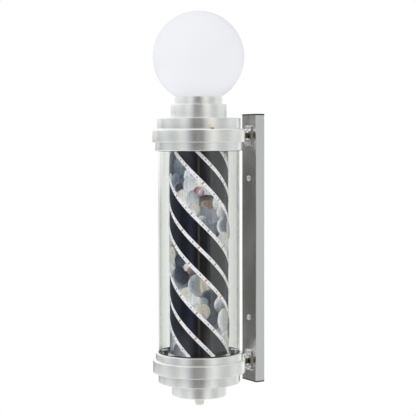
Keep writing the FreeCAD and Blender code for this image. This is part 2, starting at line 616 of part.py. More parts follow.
def deck_pillars():
    pillar = ring(2 * SCREW_HOLE, SCREW_HOLE, TUBE_BOTTOM - SLIP, DECK_BOTTOM)
    return round_the_pole(pillar.translated(Vector(PILLAR_CIRCLE, 0, 0)), QUARTERS)


def deck_screws():
    """Long screws through the deck and the pillars into the lower band."""
    reach = DECK_TOP - TUBE_BOTTOM + DECK_SCREW_GRIP
    return round_the_pole(screw_down(DECK_TOP, reach, PILLAR_CIRCLE), QUARTERS)


def gear_motor():
    """Flat geared motor hung under the deck by two ears."""
    body = cylinder(MOTOR_RADIUS, DECK_BOTTOM - MOTOR_HEIGHT, DECK_BOTTOM)
    rim = [e for e in body.Edges if abs(e.BoundBox.ZMax - (DECK_BOTTOM - MOTOR_HEIGHT)) < 1e-6]
    body = body.makeFillet(1.5, rim)
    ears = block((-MOTOR_SCREW_X - 6, MOTOR_SCREW_X + 6), (-6, 6), (DECK_BOTTOM - MOTOR_EAR, DECK_BOTTOM))
    boss = cylinder(MOTOR_BOSS_RADIUS, DECK_BOTTOM, DECK_TOP)
    outlet = block((-9, 9), (-MOTOR_RADIUS - 5, -MOTOR_RADIUS + 2), (DECK_BOTTOM - 15, DECK_BOTTOM - 5))
    tools = [cylinder(SHAFT_RADIUS + RUNNING, DECK_BOTTOM - 8, DECK_TOP + 1)]
    tools += screw_holes(DECK_BOTTOM - MOTOR_EAR, DECK_BOTTOM, MOTOR_SCREW_X, (0, 180))
    return body.fuse([ears, boss, outlet]).cut(tools).removeSplitter()


def motor_screws():
    return round_the_pole(screw_down(DECK_TOP, 7.0, MOTOR_SCREW_X), (0, 180))


def led_driver():
    box = block((-34, 34), (34, 62), (DECK_BOTTOM - 20, DECK_BOTTOM))
    upright = [e for e in box.Edges if e.BoundBox.ZLength > 10]
    return box.makeFillet(2.0, upright)


def terminal_block():
    """Three-way block with its screw wells."""
    top = DECK_BOTTOM
    body = block((-20, 20), (-60, -42), (top - 14, top))
    wells = []
    for x in (-13, 0, 13):
        for y in (-55.5, -46.5):
            wells.append(cylinder(2.2, top - 15, top - 9, x, y))
    return body.cut(wells)


def clip_blocks():
    """Black blocks inside the tube that carry the spring clips."""
    body = block(BLOCK_RADII, (-6.5, 6.5), (DECK_TOP, DECK_TOP + BLOCK_HEIGHT))
    body = body.cut(cylinder(SCREW_HOLE, DECK_TOP - 1, DECK_TOP + BLOCK_HEIGHT + 1, CLIP_SCREW_CIRCLE))
    return round_the_pole(body, CLIP_ANGLES)


def tube_clips():
    """Bent steel clips: a foot on each block and a leg that steadies the tube's wall."""
    foot_bottom = DECK_TOP + BLOCK_HEIGHT
    foot_top = foot_bottom + CLIP_SHEET
    leg_radius = TUBE_RADIUS - TUBE_WALL - 1.2
    foot = block((BLOCK_RADII[0] + 0.5, leg_radius), (-5, 5), (foot_bottom, foot_top))
    leg = block((leg_radius - CLIP_SHEET, leg_radius), (-5, 5), (DECK_TOP + 4, foot_top + 5))
    clip = foot.fuse(leg).cut(cylinder(SCREW_HOLE, foot_bottom - 1, foot_top + 1, CLIP_SCREW_CIRCLE))
    return round_the_pole(clip.removeSplitter(), CLIP_ANGLES)


def clip_screws():
    seat = DECK_TOP + BLOCK_HEIGHT + CLIP_SHEET
    return round_the_pole(screw_down(seat, 14.5, CLIP_SCREW_CIRCLE), CLIP_ANGLES)


def riser_cable():
    """Flat two-core cable that feeds the lamp, clipped up the inside of the tube at the back."""
    cable = block(RISER_RADII, (-RISER_HALF_WIDTH, RISER_HALF_WIDTH), (DECK_BOTTOM - 6, UPPER_BAND_TOP + 10))
    upright = [e for e in cable.Edges if e.BoundBox.ZLength > 100]
    return turned_about_pole(cable.makeFillet(0.9, upright), RISER_ANGLE)


# ---------------------------------------------------------------- upper bearing and slip ring
BRIDGE_SCREW_X = 79.5
BRIDGE_HALF_WIDTH = 12.0
BEARING_RADIUS = 11.0
BEARING_WIDTH = 7.0
SLIP_RING_RADIUS = 8.0
SLIP_RING_BOTTOM = UPPER_BAND_TOP + PLATE + 1
TRACK_HEIGHTS = (3.0, 9.0)   # above the slip ring's lower end
TRACK_WIDTH = 3.0


def bearing_bridge():
    """Bar across the upper band with a cup for the bearing hanging from its middle."""
    top, seat = UPPER_BAND_TOP + PLATE, UPPER_BAND_TOP - BEARING_WIDTH
    reach = BRIDGE_SCREW_X + 4
    bar = block((-reach, reach), (-BRIDGE_HALF_WIDTH, BRIDGE_HALF_WIDTH), (UPPER_BAND_TOP, top))
    bar = bar.common(cylinder(reach, UPPER_BAND_TOP, top))
    cup = cylinder(BEARING_RADIUS + 3, seat - 1, UPPER_BAND_TOP)
    tools = [cylinder(BEARING_RADIUS + SLIP, seat, top + 1), cylinder(BEARING_RADIUS - 2, seat - 2, top + 1)]
    tools += screw_holes(UPPER_BAND_TOP, top, BRIDGE_SCREW_X, (0, 180))
    return bar.fuse(cup).cut(tools).removeSplitter()


def bridge_screws():
    return round_the_pole(screw_down(UPPER_BAND_TOP + PLATE, 8.5, BRIDGE_SCREW_X), (0, 180))


def upper_bearing():
    """Ball bearing with its shield sunk a little between the two races."""
    bore, low, top = AXLE_RADIUS + RUNNING, UPPER_BAND_TOP - BEARING_WIDTH, UPPER_BAND_TOP
    shield = top - 0.6
    return turned((bore, low), (BEARING_RADIUS, low), (BEARING_RADIUS, top), (8.6, top), (8.4, shield),
                  (6.4, shield), (6.2, top), (bore, top))


def slip_ring():
    """Plastic sleeve on the axle with two copper tracks."""
    radius, top = SLIP_RING_RADIUS, SLIP_RING_BOTTOM + 15
    outline = [(AXLE_RADIUS + SLIP, SLIP_RING_BOTTOM), (radius, SLIP_RING_BOTTOM)]
    for track in TRACK_HEIGHTS:
        low, high = SLIP_RING_BOTTOM + track, SLIP_RING_BOTTOM + track + TRACK_WIDTH
        outline += [(radius, low - 0.2), (radius + 1, low), (radius + 1, high), (radius, high + 0.2)]
    outline += [(radius, top), (AXLE_RADIUS + SLIP, top)]
    return turned(*outline)


def brush_holder():
    """Block on the bridge with two contact fingers that run on the copper tracks."""
    low = UPPER_BAND_TOP + PLATE
    holder = block((18, 30), (-9, 9), (low, low + 16))
    fingers = []
    for track in TRACK_HEIGHTS:
        middle = SLIP_RING_BOTTOM + track + TRACK_WIDTH / 2
        fingers.append(block((SLIP_RING_RADIUS + 1.3, 19), (-2, 2), (middle - 0.8, middle + 0.8)))
    return holder.fuse(fingers).removeSplitter()


# ---------------------------------------------------------------- lugs on the pole's bands
LUG_SCREW_X = 10.0
LUG_FOOT_HALF = 14.5
LUG_FOOT_RISE = 9.0
LUG_FOOT_OUTER = BAND_RADIUS + 2.8


def pole_lug(clevis_z):
    """A curved foot on the band and a drilled barrel that sits between a saddle's flanges."""
    pivot = POLE_STANDOFF - PIVOT_STANDOFF
    low, high = clevis_z - LUG_HEIGHT / 2, clevis_z + LUG_HEIGHT / 2
    barrel = cylinder(LUG_RADIUS, low, high, 0, pivot)
    neck = block((-LUG_RADIUS, LUG_RADIUS), (BAND_RADIUS - 1, pivot), (low, high))
    foot = block((-LUG_FOOT_HALF, LUG_FOOT_HALF), (BAND_RADIUS - 3, LUG_FOOT_OUTER),
                 (clevis_z - LUG_FOOT_RISE, clevis_z + LUG_FOOT_RISE))
    corners = [e for e in foot.Edges if e.BoundBox.YLength > 3]
    body = barrel.fuse([neck, foot.makeFillet(3.0, corners)])
    tools = [cylinder(BAND_RADIUS + RUNNING, clevis_z - 12, clevis_z + 12),
             cylinder(PIVOT_RADIUS + RUNNING, low - 1, high + 1, 0, pivot)]
    return body.cut(tools + lug_screw_holes(clevis_z)).removeSplitter()


def lug_screws():
    screws = []
    for z in CLEVIS_HEIGHTS:
        for side in (1, -1):
            screw = screw_down(0.0, 10.5)
            screw.rotate(Vector(0, 0, 0), Vector(1, 0, 0), -90)
            screws.append(screw.translated(Vector(side * LUG_SCREW_X, LUG_FOOT_OUTER, z)))
    return screws


# ---------------------------------------------------------------- rotating drum
MIRROR_INNER = DRUM_RADIUS + GLUE
BLACK_INNER = MIRROR_INNER + FILM_THICKNESS + GLUE
STRIP_INNER = BLACK_INNER + FILM_THICKNESS + GLUE
LEAD_PER_RADIAN = HELIX_LEAD / math.tau
STARTS = 2
CAP_BOTTOM = DRUM_BOTTOM + 7.0
CAP_RIM = 9.0
UPPER_CAP_BOTTOM = DRUM_TOP - CAP_RIM - 2.0
AXLE_SEAT = UPPER_CAP_BOTTOM + PLATE
COUPLING_CIRCLE = 16.0
AXLE_CIRCLE = 12.0
AXLE_BORE = 2.2
GRUB_HEIGHT = DECK_TOP + 5.0


def stripe(radius, thickness, top, bottom, turn):
    """A left-handed helical film on the drum.

    `top` and `bottom` are its edges' heights on the FACING line, and `turn` is extra rotation in radians.
    The film is the part between the two edges and between the drum's ends.
    """
    surface = Part.Cylinder()
    surface.Radius = radius
    corners = []
    for edge, end in ((top, DRUM_TOP), (bottom, DRUM_TOP), (bottom, DRUM_BOTTOM), (top, DRUM_BOTTOM)):
        corners.append(Base.Vector2d((edge - end) / LEAD_PER_RADIAN, end))
    sides = zip(corners, corners[1:] + corners[:1])
    edges = [Part.Geom2d.Line2dSegment(start, end).toShape(surface) for start, end in sides]
    face = Part.Face(surface, Part.Wire(edges))
    face.validate()
    solid = face.makeOffsetShape(thickness, 1e-3, fill=True)
    return turned_about_pole(solid, math.degrees(FACING + turn))


def drum_tube():
    return ring(DRUM_RADIUS, DRUM_RADIUS - SHELL, DRUM_BOTTOM, DRUM_TOP)


def mirror_wrap():
    return ring(MIRROR_INNER + FILM_THICKNESS, MIRROR_INNER, DRUM_BOTTOM, DRUM_TOP)


def black_bands():
    first, _, last = STRIP_HEIGHTS
    return [stripe(BLACK_INNER, FILM_THICKNESS, first, last, start * math.tau / STARTS)
            for start in range(STARTS)]


def led_strips():
    """Ribbons whose width is square to the helix, so their height on the drum is larger."""
    slope = LEAD_PER_RADIAN / DRUM_RADIUS
    half = STRIP_WIDTH / 2 * math.hypot(1, slope)
    strips = []
    for start in range(STARTS):
        for height in STRIP_HEIGHTS:
            strips.append(stripe(STRIP_INNER, STRIP_THICKNESS, height + half, height - half,
                                 start * math.tau / STARTS))
    return strips


def drum_cap(low):
    """Moulded end disc set inside the drum, with a rim to glue it by."""
    rim, bore = DRUM_RADIUS - SHELL - SLIP, SHAFT_RADIUS + SLIP
    return turned((bore, low), (rim, low), (rim, low + CAP_RIM), (rim - SHELL, low + CAP_RIM),
                  (rim - SHELL, low + PLATE), (bore, low + PLATE))


def lower_drum_cap():
    return drum_cap(CAP_BOTTOM).cut(screw_holes(CAP_BOTTOM, CAP_BOTTOM + PLATE, COUPLING_CIRCLE, THIRDS))


def upper_drum_cap():
    low = UPPER_CAP_BOTTOM
    tools = [cylinder(AXLE_RADIUS + SLIP, low - 1, AXLE_SEAT + 1)]
    return drum_cap(low).cut(tools + screw_holes(low, AXLE_SEAT, AXLE_CIRCLE, THIRDS))


def drive_coupling():
    """Flanged hub under the lower cap, with a grub screw on the motor's shaft."""
    bore, hub, rim = SHAFT_RADIUS + SLIP, 9.0, COUPLING_CIRCLE + 5
    foot, flange = DECK_TOP + 1, CAP_BOTTOM - SHELL
    coupling = turned((bore, foot), (hub, foot), (hub, flange), (rim, flange), (rim, CAP_BOTTOM),
                      (bore, CAP_BOTTOM))
    tools = screw_holes(flange, CAP_BOTTOM, COUPLING_CIRCLE, THIRDS)
    tools.append(Part.makeCylinder(SCREW_HOLE, hub + 3, Vector(0, 0, GRUB_HEIGHT), Vector(1, 0, 0)))
    return coupling.cut(tools)


def coupling_screws():
    """Three flange screws and the grub screw."""
    screws = round_the_pole(screw_down(CAP_BOTTOM + PLATE, 6.5, COUPLING_CIRCLE), THIRDS)
    grub = Part.makeCylinder(SCREW_RADIUS, 4.6, Vector(SHAFT_RADIUS + SLIP, 0, GRUB_HEIGHT), Vector(1, 0, 0))
    return screws + [grub]


def motor_shaft():
    return cylinder(SHAFT_RADIUS, DECK_BOTTOM - 7, CAP_BOTTOM + PLATE + 3)


def upper_axle():
    """Hollow axle with a flange that stands on the upper cap, for the strips' wires."""
    low, high = UPPER_CAP_BOTTOM - 2, UPPER_BAND_TOP + 20
    rim, flange = AXLE_CIRCLE + 5, AXLE_SEAT + SHELL
    axle = turned((AXLE_BORE, low), (AXLE_RADIUS, low), (AXLE_RADIUS, AXLE_SEAT), (rim, AXLE_SEAT),
                  (rim, flange), (AXLE_RADIUS, flange), (AXLE_RADIUS, high), (AXLE_BORE, high))
    return axle.cut(screw_holes(AXLE_SEAT, flange, AXLE_CIRCLE, THIRDS))


def axle_screws():
    return round_the_pole(screw_down(AXLE_SEAT + SHELL, 6.5, AXLE_CIRCLE), THIRDS)


# ---------------------------------------------------------------- write every sub-part
def write_bracket():
    plug = channel_plug()
    save("wall_channel", wall_channel())
    save("channel_plugs", plug, plug.mirror(Vector(0, 0, 0), Vector(0, 0, 1)))
    save("hole_plugs", *hole_plugs())
    save("upper_saddle", saddle(UPPER_CLEVIS_Z))
    save("lower_saddle", saddle(LOWER_CLEVIS_Z))
    save("saddle_screws", *saddle_screws())
    save("pivot_bolts", *[pivot_bolt(z) for z in CLEVIS_HEIGHTS])
    save("pivot_nuts", *[pivot_nut(z) for z in CLEVIS_HEIGHTS])


def write_pole():
    save_on_pole("globe", globe())
    save_on_pole("globe_gasket", globe_gasket())
    save_on_pole("globe_collar", globe_collar())
    save_on_pole("collar_screws", *collar_screws())
    save_on_pole("lamp_holder", lamp_holder())
    save_on_pole("lamp_holder_screws", *lamp_holder_screws())
    save_on_pole("bulb_base", bulb_base())
    save_on_pole("bulb", bulb())
    save_on_pole("step_cap", step_cap())
    save_on_pole("top_cover", top_cover())
    save_on_pole("cover_lock_screw", cover_lock_screw())
    save_on_pole("upper_band", upper_band())
    save_on_pole("upper_tube_ring", tube_ring(UPPER_RING_BOTTOM, UPPER_BAND_BOTTOM))
    save_on_pole("clear_tube", clear_tube())
    save_on_pole("tube_seals", tube_seal(UPPER_RING_BOTTOM, UPPER_BAND_BOTTOM),
                 tube_seal(LOWER_RING_TOP, LOWER_BAND_TOP))
    save_on_pole("lower_tube_ring", tube_ring(LOWER_RING_TOP, LOWER_BAND_TOP))
    save_on_pole("lower_band", lower_band())
    save_on_pole("lower_cover", lower_cover())
    save_on_pole("bottom_cup", bottom_cup())
    save_on_pole("cover_screws", *step_cap_screws(), *top_cover_screws(), *lower_cover_screws(),
                 *cup_screws())
    save_on_pole("gland_body", gland_body())
    save_on_pole("gland_nut", gland_nut())
    save_on_pole("gland_seal", gland_seal())
    save_on_pole("gland_locknut", gland_locknut())
    save_on_pole("pole_lugs", *[pole_lug(z) for z in CLEVIS_HEIGHTS])
    save_on_pole("lug_screws", *lug_screws())


def write_works():
    save_on_pole("base_deck", base_deck())
    save_on_pole("deck_pillars", *deck_pillars())
    save_on_pole("deck_screws", *deck_screws(), *motor_screws())
    save_on_pole("gear_motor", gear_motor())
    save_on_pole("led_driver", led_driver())
    save_on_pole("terminal_block", terminal_block())
    save_on_pole("clip_blocks", *clip_blocks())
    save_on_pole("tube_clips", *tube_clips())
    save_on_pole("clip_screws", *clip_screws())
    save_on_pole("riser_cable", riser_cable())
    save_on_pole("bearing_bridge", bearing_bridge())
    save_on_pole("bridge_screws", *bridge_screws())
    save_on_pole("upper_bearing", upper_bearing())
    save_on_pole("brush_holder", brush_holder())


def write_drum():
    save_on_pole("drum_tube", drum_tube())
    save_on_pole("mirror_wrap", mirror_wrap())
    save_on_pole("black_bands", *black_bands())
    save_on_pole("led_strips", *led_strips())
    save_on_pole("lower_drum_cap", lower_drum_cap())
    save_on_pole("upper_drum_cap", upper_drum_cap())
    save_on_pole("drive_coupling", drive_coupling())
    save_on_pole("motor_shaft", motor_shaft())
    save_on_pole("upper_axle", upper_axle())
    save_on_pole("drum_screws", *coupling_screws(), *axle_screws())
    save_on_pole("slip_ring", slip_ring())


os.makedirs("parts", exist_ok=True)
write_bracket()
write_pole()
write_works()
write_drum()
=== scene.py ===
import bpy
import bmesh
import json
import math
import random
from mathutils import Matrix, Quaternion, Vector


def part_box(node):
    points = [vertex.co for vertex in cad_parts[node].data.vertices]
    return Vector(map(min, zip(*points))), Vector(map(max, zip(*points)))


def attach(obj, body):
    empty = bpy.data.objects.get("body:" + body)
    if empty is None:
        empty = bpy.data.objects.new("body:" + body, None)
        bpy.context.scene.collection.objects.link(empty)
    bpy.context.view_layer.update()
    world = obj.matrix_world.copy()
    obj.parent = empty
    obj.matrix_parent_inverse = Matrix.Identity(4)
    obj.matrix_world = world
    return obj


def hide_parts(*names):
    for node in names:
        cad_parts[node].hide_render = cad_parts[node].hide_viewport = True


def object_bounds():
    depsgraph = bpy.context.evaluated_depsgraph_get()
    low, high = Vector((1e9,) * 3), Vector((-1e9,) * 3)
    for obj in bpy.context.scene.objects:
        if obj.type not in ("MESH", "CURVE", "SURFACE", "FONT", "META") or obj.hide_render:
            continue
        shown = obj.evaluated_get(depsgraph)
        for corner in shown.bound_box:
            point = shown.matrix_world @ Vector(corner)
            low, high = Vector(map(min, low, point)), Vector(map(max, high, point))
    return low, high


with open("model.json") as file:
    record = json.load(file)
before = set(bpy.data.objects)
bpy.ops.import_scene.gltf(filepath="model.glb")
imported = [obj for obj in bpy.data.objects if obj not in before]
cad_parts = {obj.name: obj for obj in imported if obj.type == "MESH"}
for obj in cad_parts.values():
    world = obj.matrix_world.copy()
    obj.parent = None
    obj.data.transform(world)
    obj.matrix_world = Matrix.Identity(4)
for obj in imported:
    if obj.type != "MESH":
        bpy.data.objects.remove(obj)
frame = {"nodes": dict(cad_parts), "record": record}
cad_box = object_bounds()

# Wall-mounted barber pole light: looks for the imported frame.  Metres, +Z up, the wall is the plane y = 0.
NODES = frame["nodes"]
MM = 0.001


def middle(node):
    low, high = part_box(node)
    return (low + high) / 2


# ---------------------------------------------------------------- places and sizes, from the frame
POLE = Vector((middle("clear_tube").x, middle("clear_tube").y, 0.0))


def outer_radius(node):
    low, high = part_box(node)
    return (high.x - low.x) / 2


def heights(node):
    low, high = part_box(node)
    return low.z, high.z


SEGMENTS = 256            # round the turned parts
SHELL = 2.5 * MM          # wall of the turned covers
PLATE = 3.0 * MM
BEVEL = 0.35 * MM         # softening of carried-over CAD edges
SADDLE_BEVEL = 0.2 * MM
DRUM_BOTTOM, DRUM_TOP = heights("drum_tube")
DRUM_RADIUS = outer_radius("drum_tube")
HELIX_LEAD = 390.0 * MM
STARTS = 2
FACING = math.radians(-30.0)                        # direction that stripe heights are measured on
STRIP_HEIGHTS = (64.5 * MM, 9.3 * MM, -43.8 * MM)   # edges and middle of a black band
STRIP_WIDTH = 7.3 * MM
STRIP_HALF_HEIGHT = STRIP_WIDTH / 2 * math.hypot(1, HELIX_LEAD / (math.tau * DRUM_RADIUS))
PERIOD = HELIX_LEAD / STARTS


# ---------------------------------------------------------------- meshes
def add_object(name, mesh):
    piece = bpy.data.objects.new(name, mesh)
    bpy.context.scene.collection.objects.link(piece)
    return piece


def mesh_piece(name, verts, faces, sharp_degrees=40.0):
    mesh = bpy.data.meshes.new(name)
    mesh.from_pydata(verts, [], faces)
    mesh.validate()
    work = bmesh.new()
    work.from_mesh(mesh)
    bmesh.ops.recalc_face_normals(work, faces=work.faces)
    work.to_mesh(mesh)
    work.free()
    mesh.shade_smooth()
    mesh.set_sharp_from_angle(angle=math.radians(sharp_degrees))
    return add_object(name, mesh)


def arc(centre, radius, start, end, steps=6):
    """Outline points (r, z) on an arc, angles in degrees."""
    points = []
    for step in range(steps + 1):
        angle = math.radians(start + (end - start) * step / steps)
        points.append((centre[0] + radius * math.cos(angle), centre[1] + radius * math.sin(angle)))
    return points


def on_axis(angle, height, radius):
    """A point round the axis that the pole and the drum share."""
    return (POLE.x + radius * math.cos(angle), POLE.y + radius * math.sin(angle), height)


def lathe(name, outline):
    """Turn a closed outline of (radius, height) points round the pole's axis; points at radius 0 merge."""
    verts, faces, rings = [], [], []
    for radius, height in outline:
        if radius < 1e-7:
            rings.append([len(verts)] * SEGMENTS)
            verts.append((POLE.x, POLE.y, height))
            continue
        ring = []
        for step in range(SEGMENTS):
            ring.append(len(verts))
            verts.append(on_axis(math.tau * step / SEGMENTS, height, radius))
        rings.append(ring)
    for ring, following in zip(rings, rings[1:] + rings[:1]):
        for step in range(SEGMENTS):
            after = (step + 1) % SEGMENTS
            corners = [ring[step], ring[after], following[after], following[step]]
            unique = list(dict.fromkeys(corners))
            if len(unique) > 2:
                faces.append(unique)
    return mesh_piece(name, verts, faces)


def soften(node, width):
    """Rounded edges on a carried-over CAD node, whose own mesh stays as it is."""
    piece = NODES[node]
    weld = piece.modifiers.new("weld", "WELD")
    weld.merge_threshold = 0.002 * MM
    bevel = piece.modifiers.new("soft_edges", "BEVEL")
    bevel.width = width
    bevel.segments = 2
    bevel.limit_method = "ANGLE"
    bevel.angle_limit = math.radians(40)
    bevel.harden_normals = True
    bevel.use_clamp_overlap = True


# ---------------------------------------------------------------- materials
class Nodes:
    """Short ways to add and wire the nodes of one tree."""

    def __init__(self, tree):
        self.tree = tree

    def node(self, kind, **settings):
        made = self.tree.nodes.new(kind)
        for key, value in settings.items():
            setattr(made, key, value)
        return made

    def link(self, source, target):
        self.tree.links.new(source, target)

    def feed(self, target, value):
        """A number or colour is set, and another node's output is linked."""
        if isinstance(value, (int, float)):
            target.default_value = value
        elif isinstance(value, tuple):
            target.default_value = (*value, 1.0)
        else:
            self.link(value, target)

    def math(self, operation, first, second=0.0):
        made = self.node("ShaderNodeMath", operation=operation)
        for target, value in zip(made.inputs, (first, second)):
            self.feed(target, value)
        return made.outputs[0]

    def split(self, vector):
        made = self.node("ShaderNodeSeparateXYZ")
        self.link(vector, made.inputs[0])
        return made.outputs

    def spread(self, value, low, high, source_low=0.3, source_high=0.7, curve="LINEAR"):
        """A value between two source limits, laid out between low and high."""
        made = self.node("ShaderNodeMapRange", interpolation_type=curve)
        limits = {"From Min": source_low, "From Max": source_high, "To Min": low, "To Max": high}
        for name, limit in limits.items():
            made.inputs[name].default_value = limit
        self.link(value, made.inputs["Value"])
        return made.outputs["Result"]

    def mix(self, factor, first, second, blend="MIX"):
        made = self.node("ShaderNodeMix", data_type="RGBA", blend_type=blend)
        for name, value in (("Factor", factor), ("A", first), ("B", second)):
            self.feed(made.inputs[name], value)
        return made.outputs["Result"]


class Shader(Nodes):
    """A node material with one Principled shader, and short ways to wire its detail."""

    def __init__(self, name, color, roughness=0.5, metallic=0.0, **sockets):
        self.material = bpy.data.materials.new(name)
        self.material.use_nodes = True
        super().__init__(self.material.node_tree)
        self.shader = self.tree.nodes["Principled BSDF"]
        self.color, self.roughness = color, roughness
        sockets.update({"Base Color": color, "Roughness": roughness, "Metallic": metallic})
        for socket, value in sockets.items():
            self.drive(socket.replace("_", " "), value)

    def drive(self, socket, value):
        """One of the Principled shader's sockets gets a number, a colour or a pattern."""
        self.feed(self.shader.inputs[socket], value)

    def position(self, scale=(1.0, 1.0, 1.0)):
        """Object coordinates, scaled."""
        coords = self.node("ShaderNodeTexCoord")
        mapping = self.node("ShaderNodeMapping")
        mapping.inputs["Scale"].default_value = scale
        self.link(coords.outputs["Object"], mapping.inputs["Vector"])
        return mapping.outputs["Vector"]

    def round_pole(self, turns_scale, radius_scale, height_scale):
        """Coordinates about the pole's axis, for lathe lines and streaks."""
        place = self.split(self.node("ShaderNodeTexCoord").outputs["Object"])
        x = self.math("SUBTRACT", place["X"], POLE.x)
        y = self.math("SUBTRACT", place["Y"], POLE.y)
        radius = self.math("SQRT", self.math("ADD", self.math("MULTIPLY", x, x), self.math("MULTIPLY", y, y)))
        drop = self.math("ADD", self.math("MULTIPLY", place["Z"], height_scale),
                         self.math("MULTIPLY", radius, radius_scale))
        joined = self.node("ShaderNodeCombineXYZ")
        # cosine and sine keep the pattern seamless all the way round
        self.link(self.math("MULTIPLY", self.math("DIVIDE", x, radius), turns_scale), joined.inputs["X"])
        self.link(self.math("MULTIPLY", self.math("DIVIDE", y, radius), turns_scale), joined.inputs["Y"])
        self.link(drop, joined.inputs["Z"])
        return joined.outputs[0]

    def facing(self, power):
        """0 on a surface that faces the viewer and 1 at its rim, drawn toward the rim by `power`."""
        made = self.node("ShaderNodeLayerWeight")
        made.inputs["Blend"].default_value = 0.5
        return self.math("POWER", made.outputs["Facing"], power)

    def noise(self, vector, scale=1.0, detail=4.0):
        made = self.node("ShaderNodeTexNoise")
        for name, value in (("Scale", scale), ("Detail", detail), ("Roughness", 0.55)):
            made.inputs[name].default_value = value
        self.link(vector, made.inputs["Vector"])
        return made.outputs["Fac"]

    def shade(self, value, strength):
        """Base colour made a little darker and lighter by a 0..1 pattern."""
        dark = tuple(channel * (1 - strength) for channel in self.color)
        light = tuple(min(channel * (1 + strength), 1.0) for channel in self.color)
        self.drive("Base Color", self.mix(self.spread(value, 0.0, 1.0), dark, light))
        return self

    def rough(self, value, amount):
        low, high = max(self.roughness - amount, 0.02), min(self.roughness + amount, 1.0)
        self.drive("Roughness", self.spread(value, low, high))
        return self

    def bump(self, value, height, strength):
        made = self.node("ShaderNodeBump")
        made.inputs["Strength"].default_value = strength
        made.inputs["Distance"].default_value = height
        self.link(value, made.inputs["Height"])
        previous = self.shader.inputs["Normal"].links
        if previous:
            self.link(previous[0].from_socket, made.inputs["Normal"])
        self.link(made.outputs["Normal"], self.shader.inputs["Normal"])
        return self


def turned_aluminium(name, color, roughness):
    """Satin aluminium with fine lathe lines round the axis."""
    shader = Shader(name, color, roughness, 1.0, Anisotropic=0.85, Anisotropic_Rotation=0.25)
    shader.drive("Tangent", shader.node("ShaderNodeTangent", direction_type="RADIAL", axis="Z").outputs[0])
    lines = shader.noise(shader.round_pole(1.5, 900.0, 1500.0), 1.0, 3.0)
    drift = shader.noise(shader.position((30, 30, 12)), 1.0, 2.0)
    shader.shade(lines, 0.045).rough(drift, 0.03).bump(lines, 0.02 * MM, 0.35)
    return shader.material


def channel_metal():
    """Satin olive-grey channel with faint vertical drawing lines."""
    shader = Shader("channel_metal", (0.68, 0.685, 0.68), 0.22, 1.0)
    lines = shader.noise(shader.position((2200, 2200, 6)), 1.0, 3.0)
    cloud = shader.noise(shader.position((20, 20, 9)), 1.0, 3.0)
    shader.shade(lines, 0.05).rough(cloud, 0.05).bump(lines, 0.02 * MM, 0.3)
    return shader.material


def fastener_metal(name, color, roughness):
    shader = Shader(name, color, roughness, 1.0)
    grain = shader.noise(shader.position((900, 900, 900)), 1.0, 4.0)
    wear = shader.noise(shader.position((160, 160, 160)), 1.0, 3.0)
    shader.shade(wear, 0.08).rough(grain, 0.06).bump(grain, 0.01 * MM, 0.3)
    return shader.material


def lug_metal():
    """Cast lug: bright foot on the band; nearer the wall, between the flanges, a dark brownish grey is
    painted in as painted shade of the gap.
    """
    bright, gap_shade = (0.84, 0.84, 0.82), (0.20, 0.17, 0.11)
    shader = Shader("lug_metal", bright, 0.24, 1.0)
    # painted shade: the lug is made dark between the flanges, where the gap lies in shadow
    gap_shade_mask = shader.spread(shader.split(shader.position())["Y"], 0.0, 1.0, -43.0 * MM, -39.0 * MM)
    shader.drive("Base Color", shader.mix(gap_shade_mask, bright, gap_shade))
    grain = shader.noise(shader.position((700, 700, 700)), 1.0, 3.0)
    shader.rough(grain, 0.06).bump(grain, 0.01 * MM, 0.3)
    return shader.material


def moulded(name, color, roughness, grain_size=0.7 * MM, **sockets):
    """Moulded plastic or rubber: fine grain, slight mottling."""
    shader = Shader(name, color, roughness, **sockets)
    grain = shader.noise(shader.position((1, 1, 1)), 1 / grain_size, 4.0)
    cloud = shader.noise(shader.position((25, 25, 25)), 1.0, 3.0)
    shader.shade(cloud, 0.04).rough(grain, 0.05).bump(grain, 0.02 * MM, 0.4)
    return shader.material


def opal_glass():
    """Lit opal glass: a glow that is weaker at the rim, and painted a little stronger toward the bottom as
    painted light against the light that falls on the top.
    """
    shader = Shader("opal_glass", (0.42, 0.425, 0.44), 0.5, Specular_IOR_Level=0.2)
    cloud = shader.noise(shader.position((9, 9, 9)), 1.0, 2.0)
    fine = shader.noise(shader.position((60, 60, 60)), 1.0, 2.0)
    shader.shade(cloud, 0.012).rough(fine, 0.04)
    glow = shader.mix(shader.facing(2.5), (0.92, 0.925, 0.955), (0.62, 0.63, 0.66))
    shader.drive("Emission Color", glow)
    # painted light: the glow is made stronger toward the bottom and weaker toward the top
    height = shader.split(shader.position())["Z"]
    shader.drive("Emission Strength", shader.spread(height, 0.585, 0.425, *heights("globe")))
    return shader.material


SHADED_SIDE = math.radians(65.0)     # the side of the tube whose clear colour is painted a little darker, as painted shade


def clear_acrylic():
    """Clear tube: light passes straight through, with the gloss of each of its surfaces."""
    shader = Shader("clear_acrylic", (1.0, 1.0, 1.0), 0.02, 1.0)
    haze = shader.noise(shader.position((40, 40, 5)), 1.0, 2.0)
    shader.rough(haze, 0.01)
    gloss = shader.math("ADD", shader.math("MULTIPLY", shader.facing(5.0), 0.80), 0.038)
    depth = shader.mix(shader.facing(2.0), (0.975, 0.982, 0.976), (0.90, 0.91, 0.885))
    # painted shade: the clear colour is made a little darker toward one side of the tube
    around = shader.split(shader.round_pole(1.0, 0.0, 0.0))
    toward = shader.math("ADD", shader.math("MULTIPLY", around["X"], math.cos(SHADED_SIDE)),
                         shader.math("MULTIPLY", around["Y"], math.sin(SHADED_SIDE)))
    side_shade = shader.mix(shader.math("MAXIMUM", toward, 0.0), depth, (0.95, 0.948, 0.945), "MULTIPLY")
    clear = shader.node("ShaderNodeBsdfTransparent")
    shader.link(side_shade, clear.inputs["Color"])
    wall = shader.node("ShaderNodeMixShader")
    for target, source in zip(wall.inputs, (gloss, clear.outputs[0], shader.shader.outputs[0])):
        shader.link(source, target)
    shader.link(wall.outputs[0], shader.tree.nodes["Material Output"].inputs["Surface"])
    return shader.material


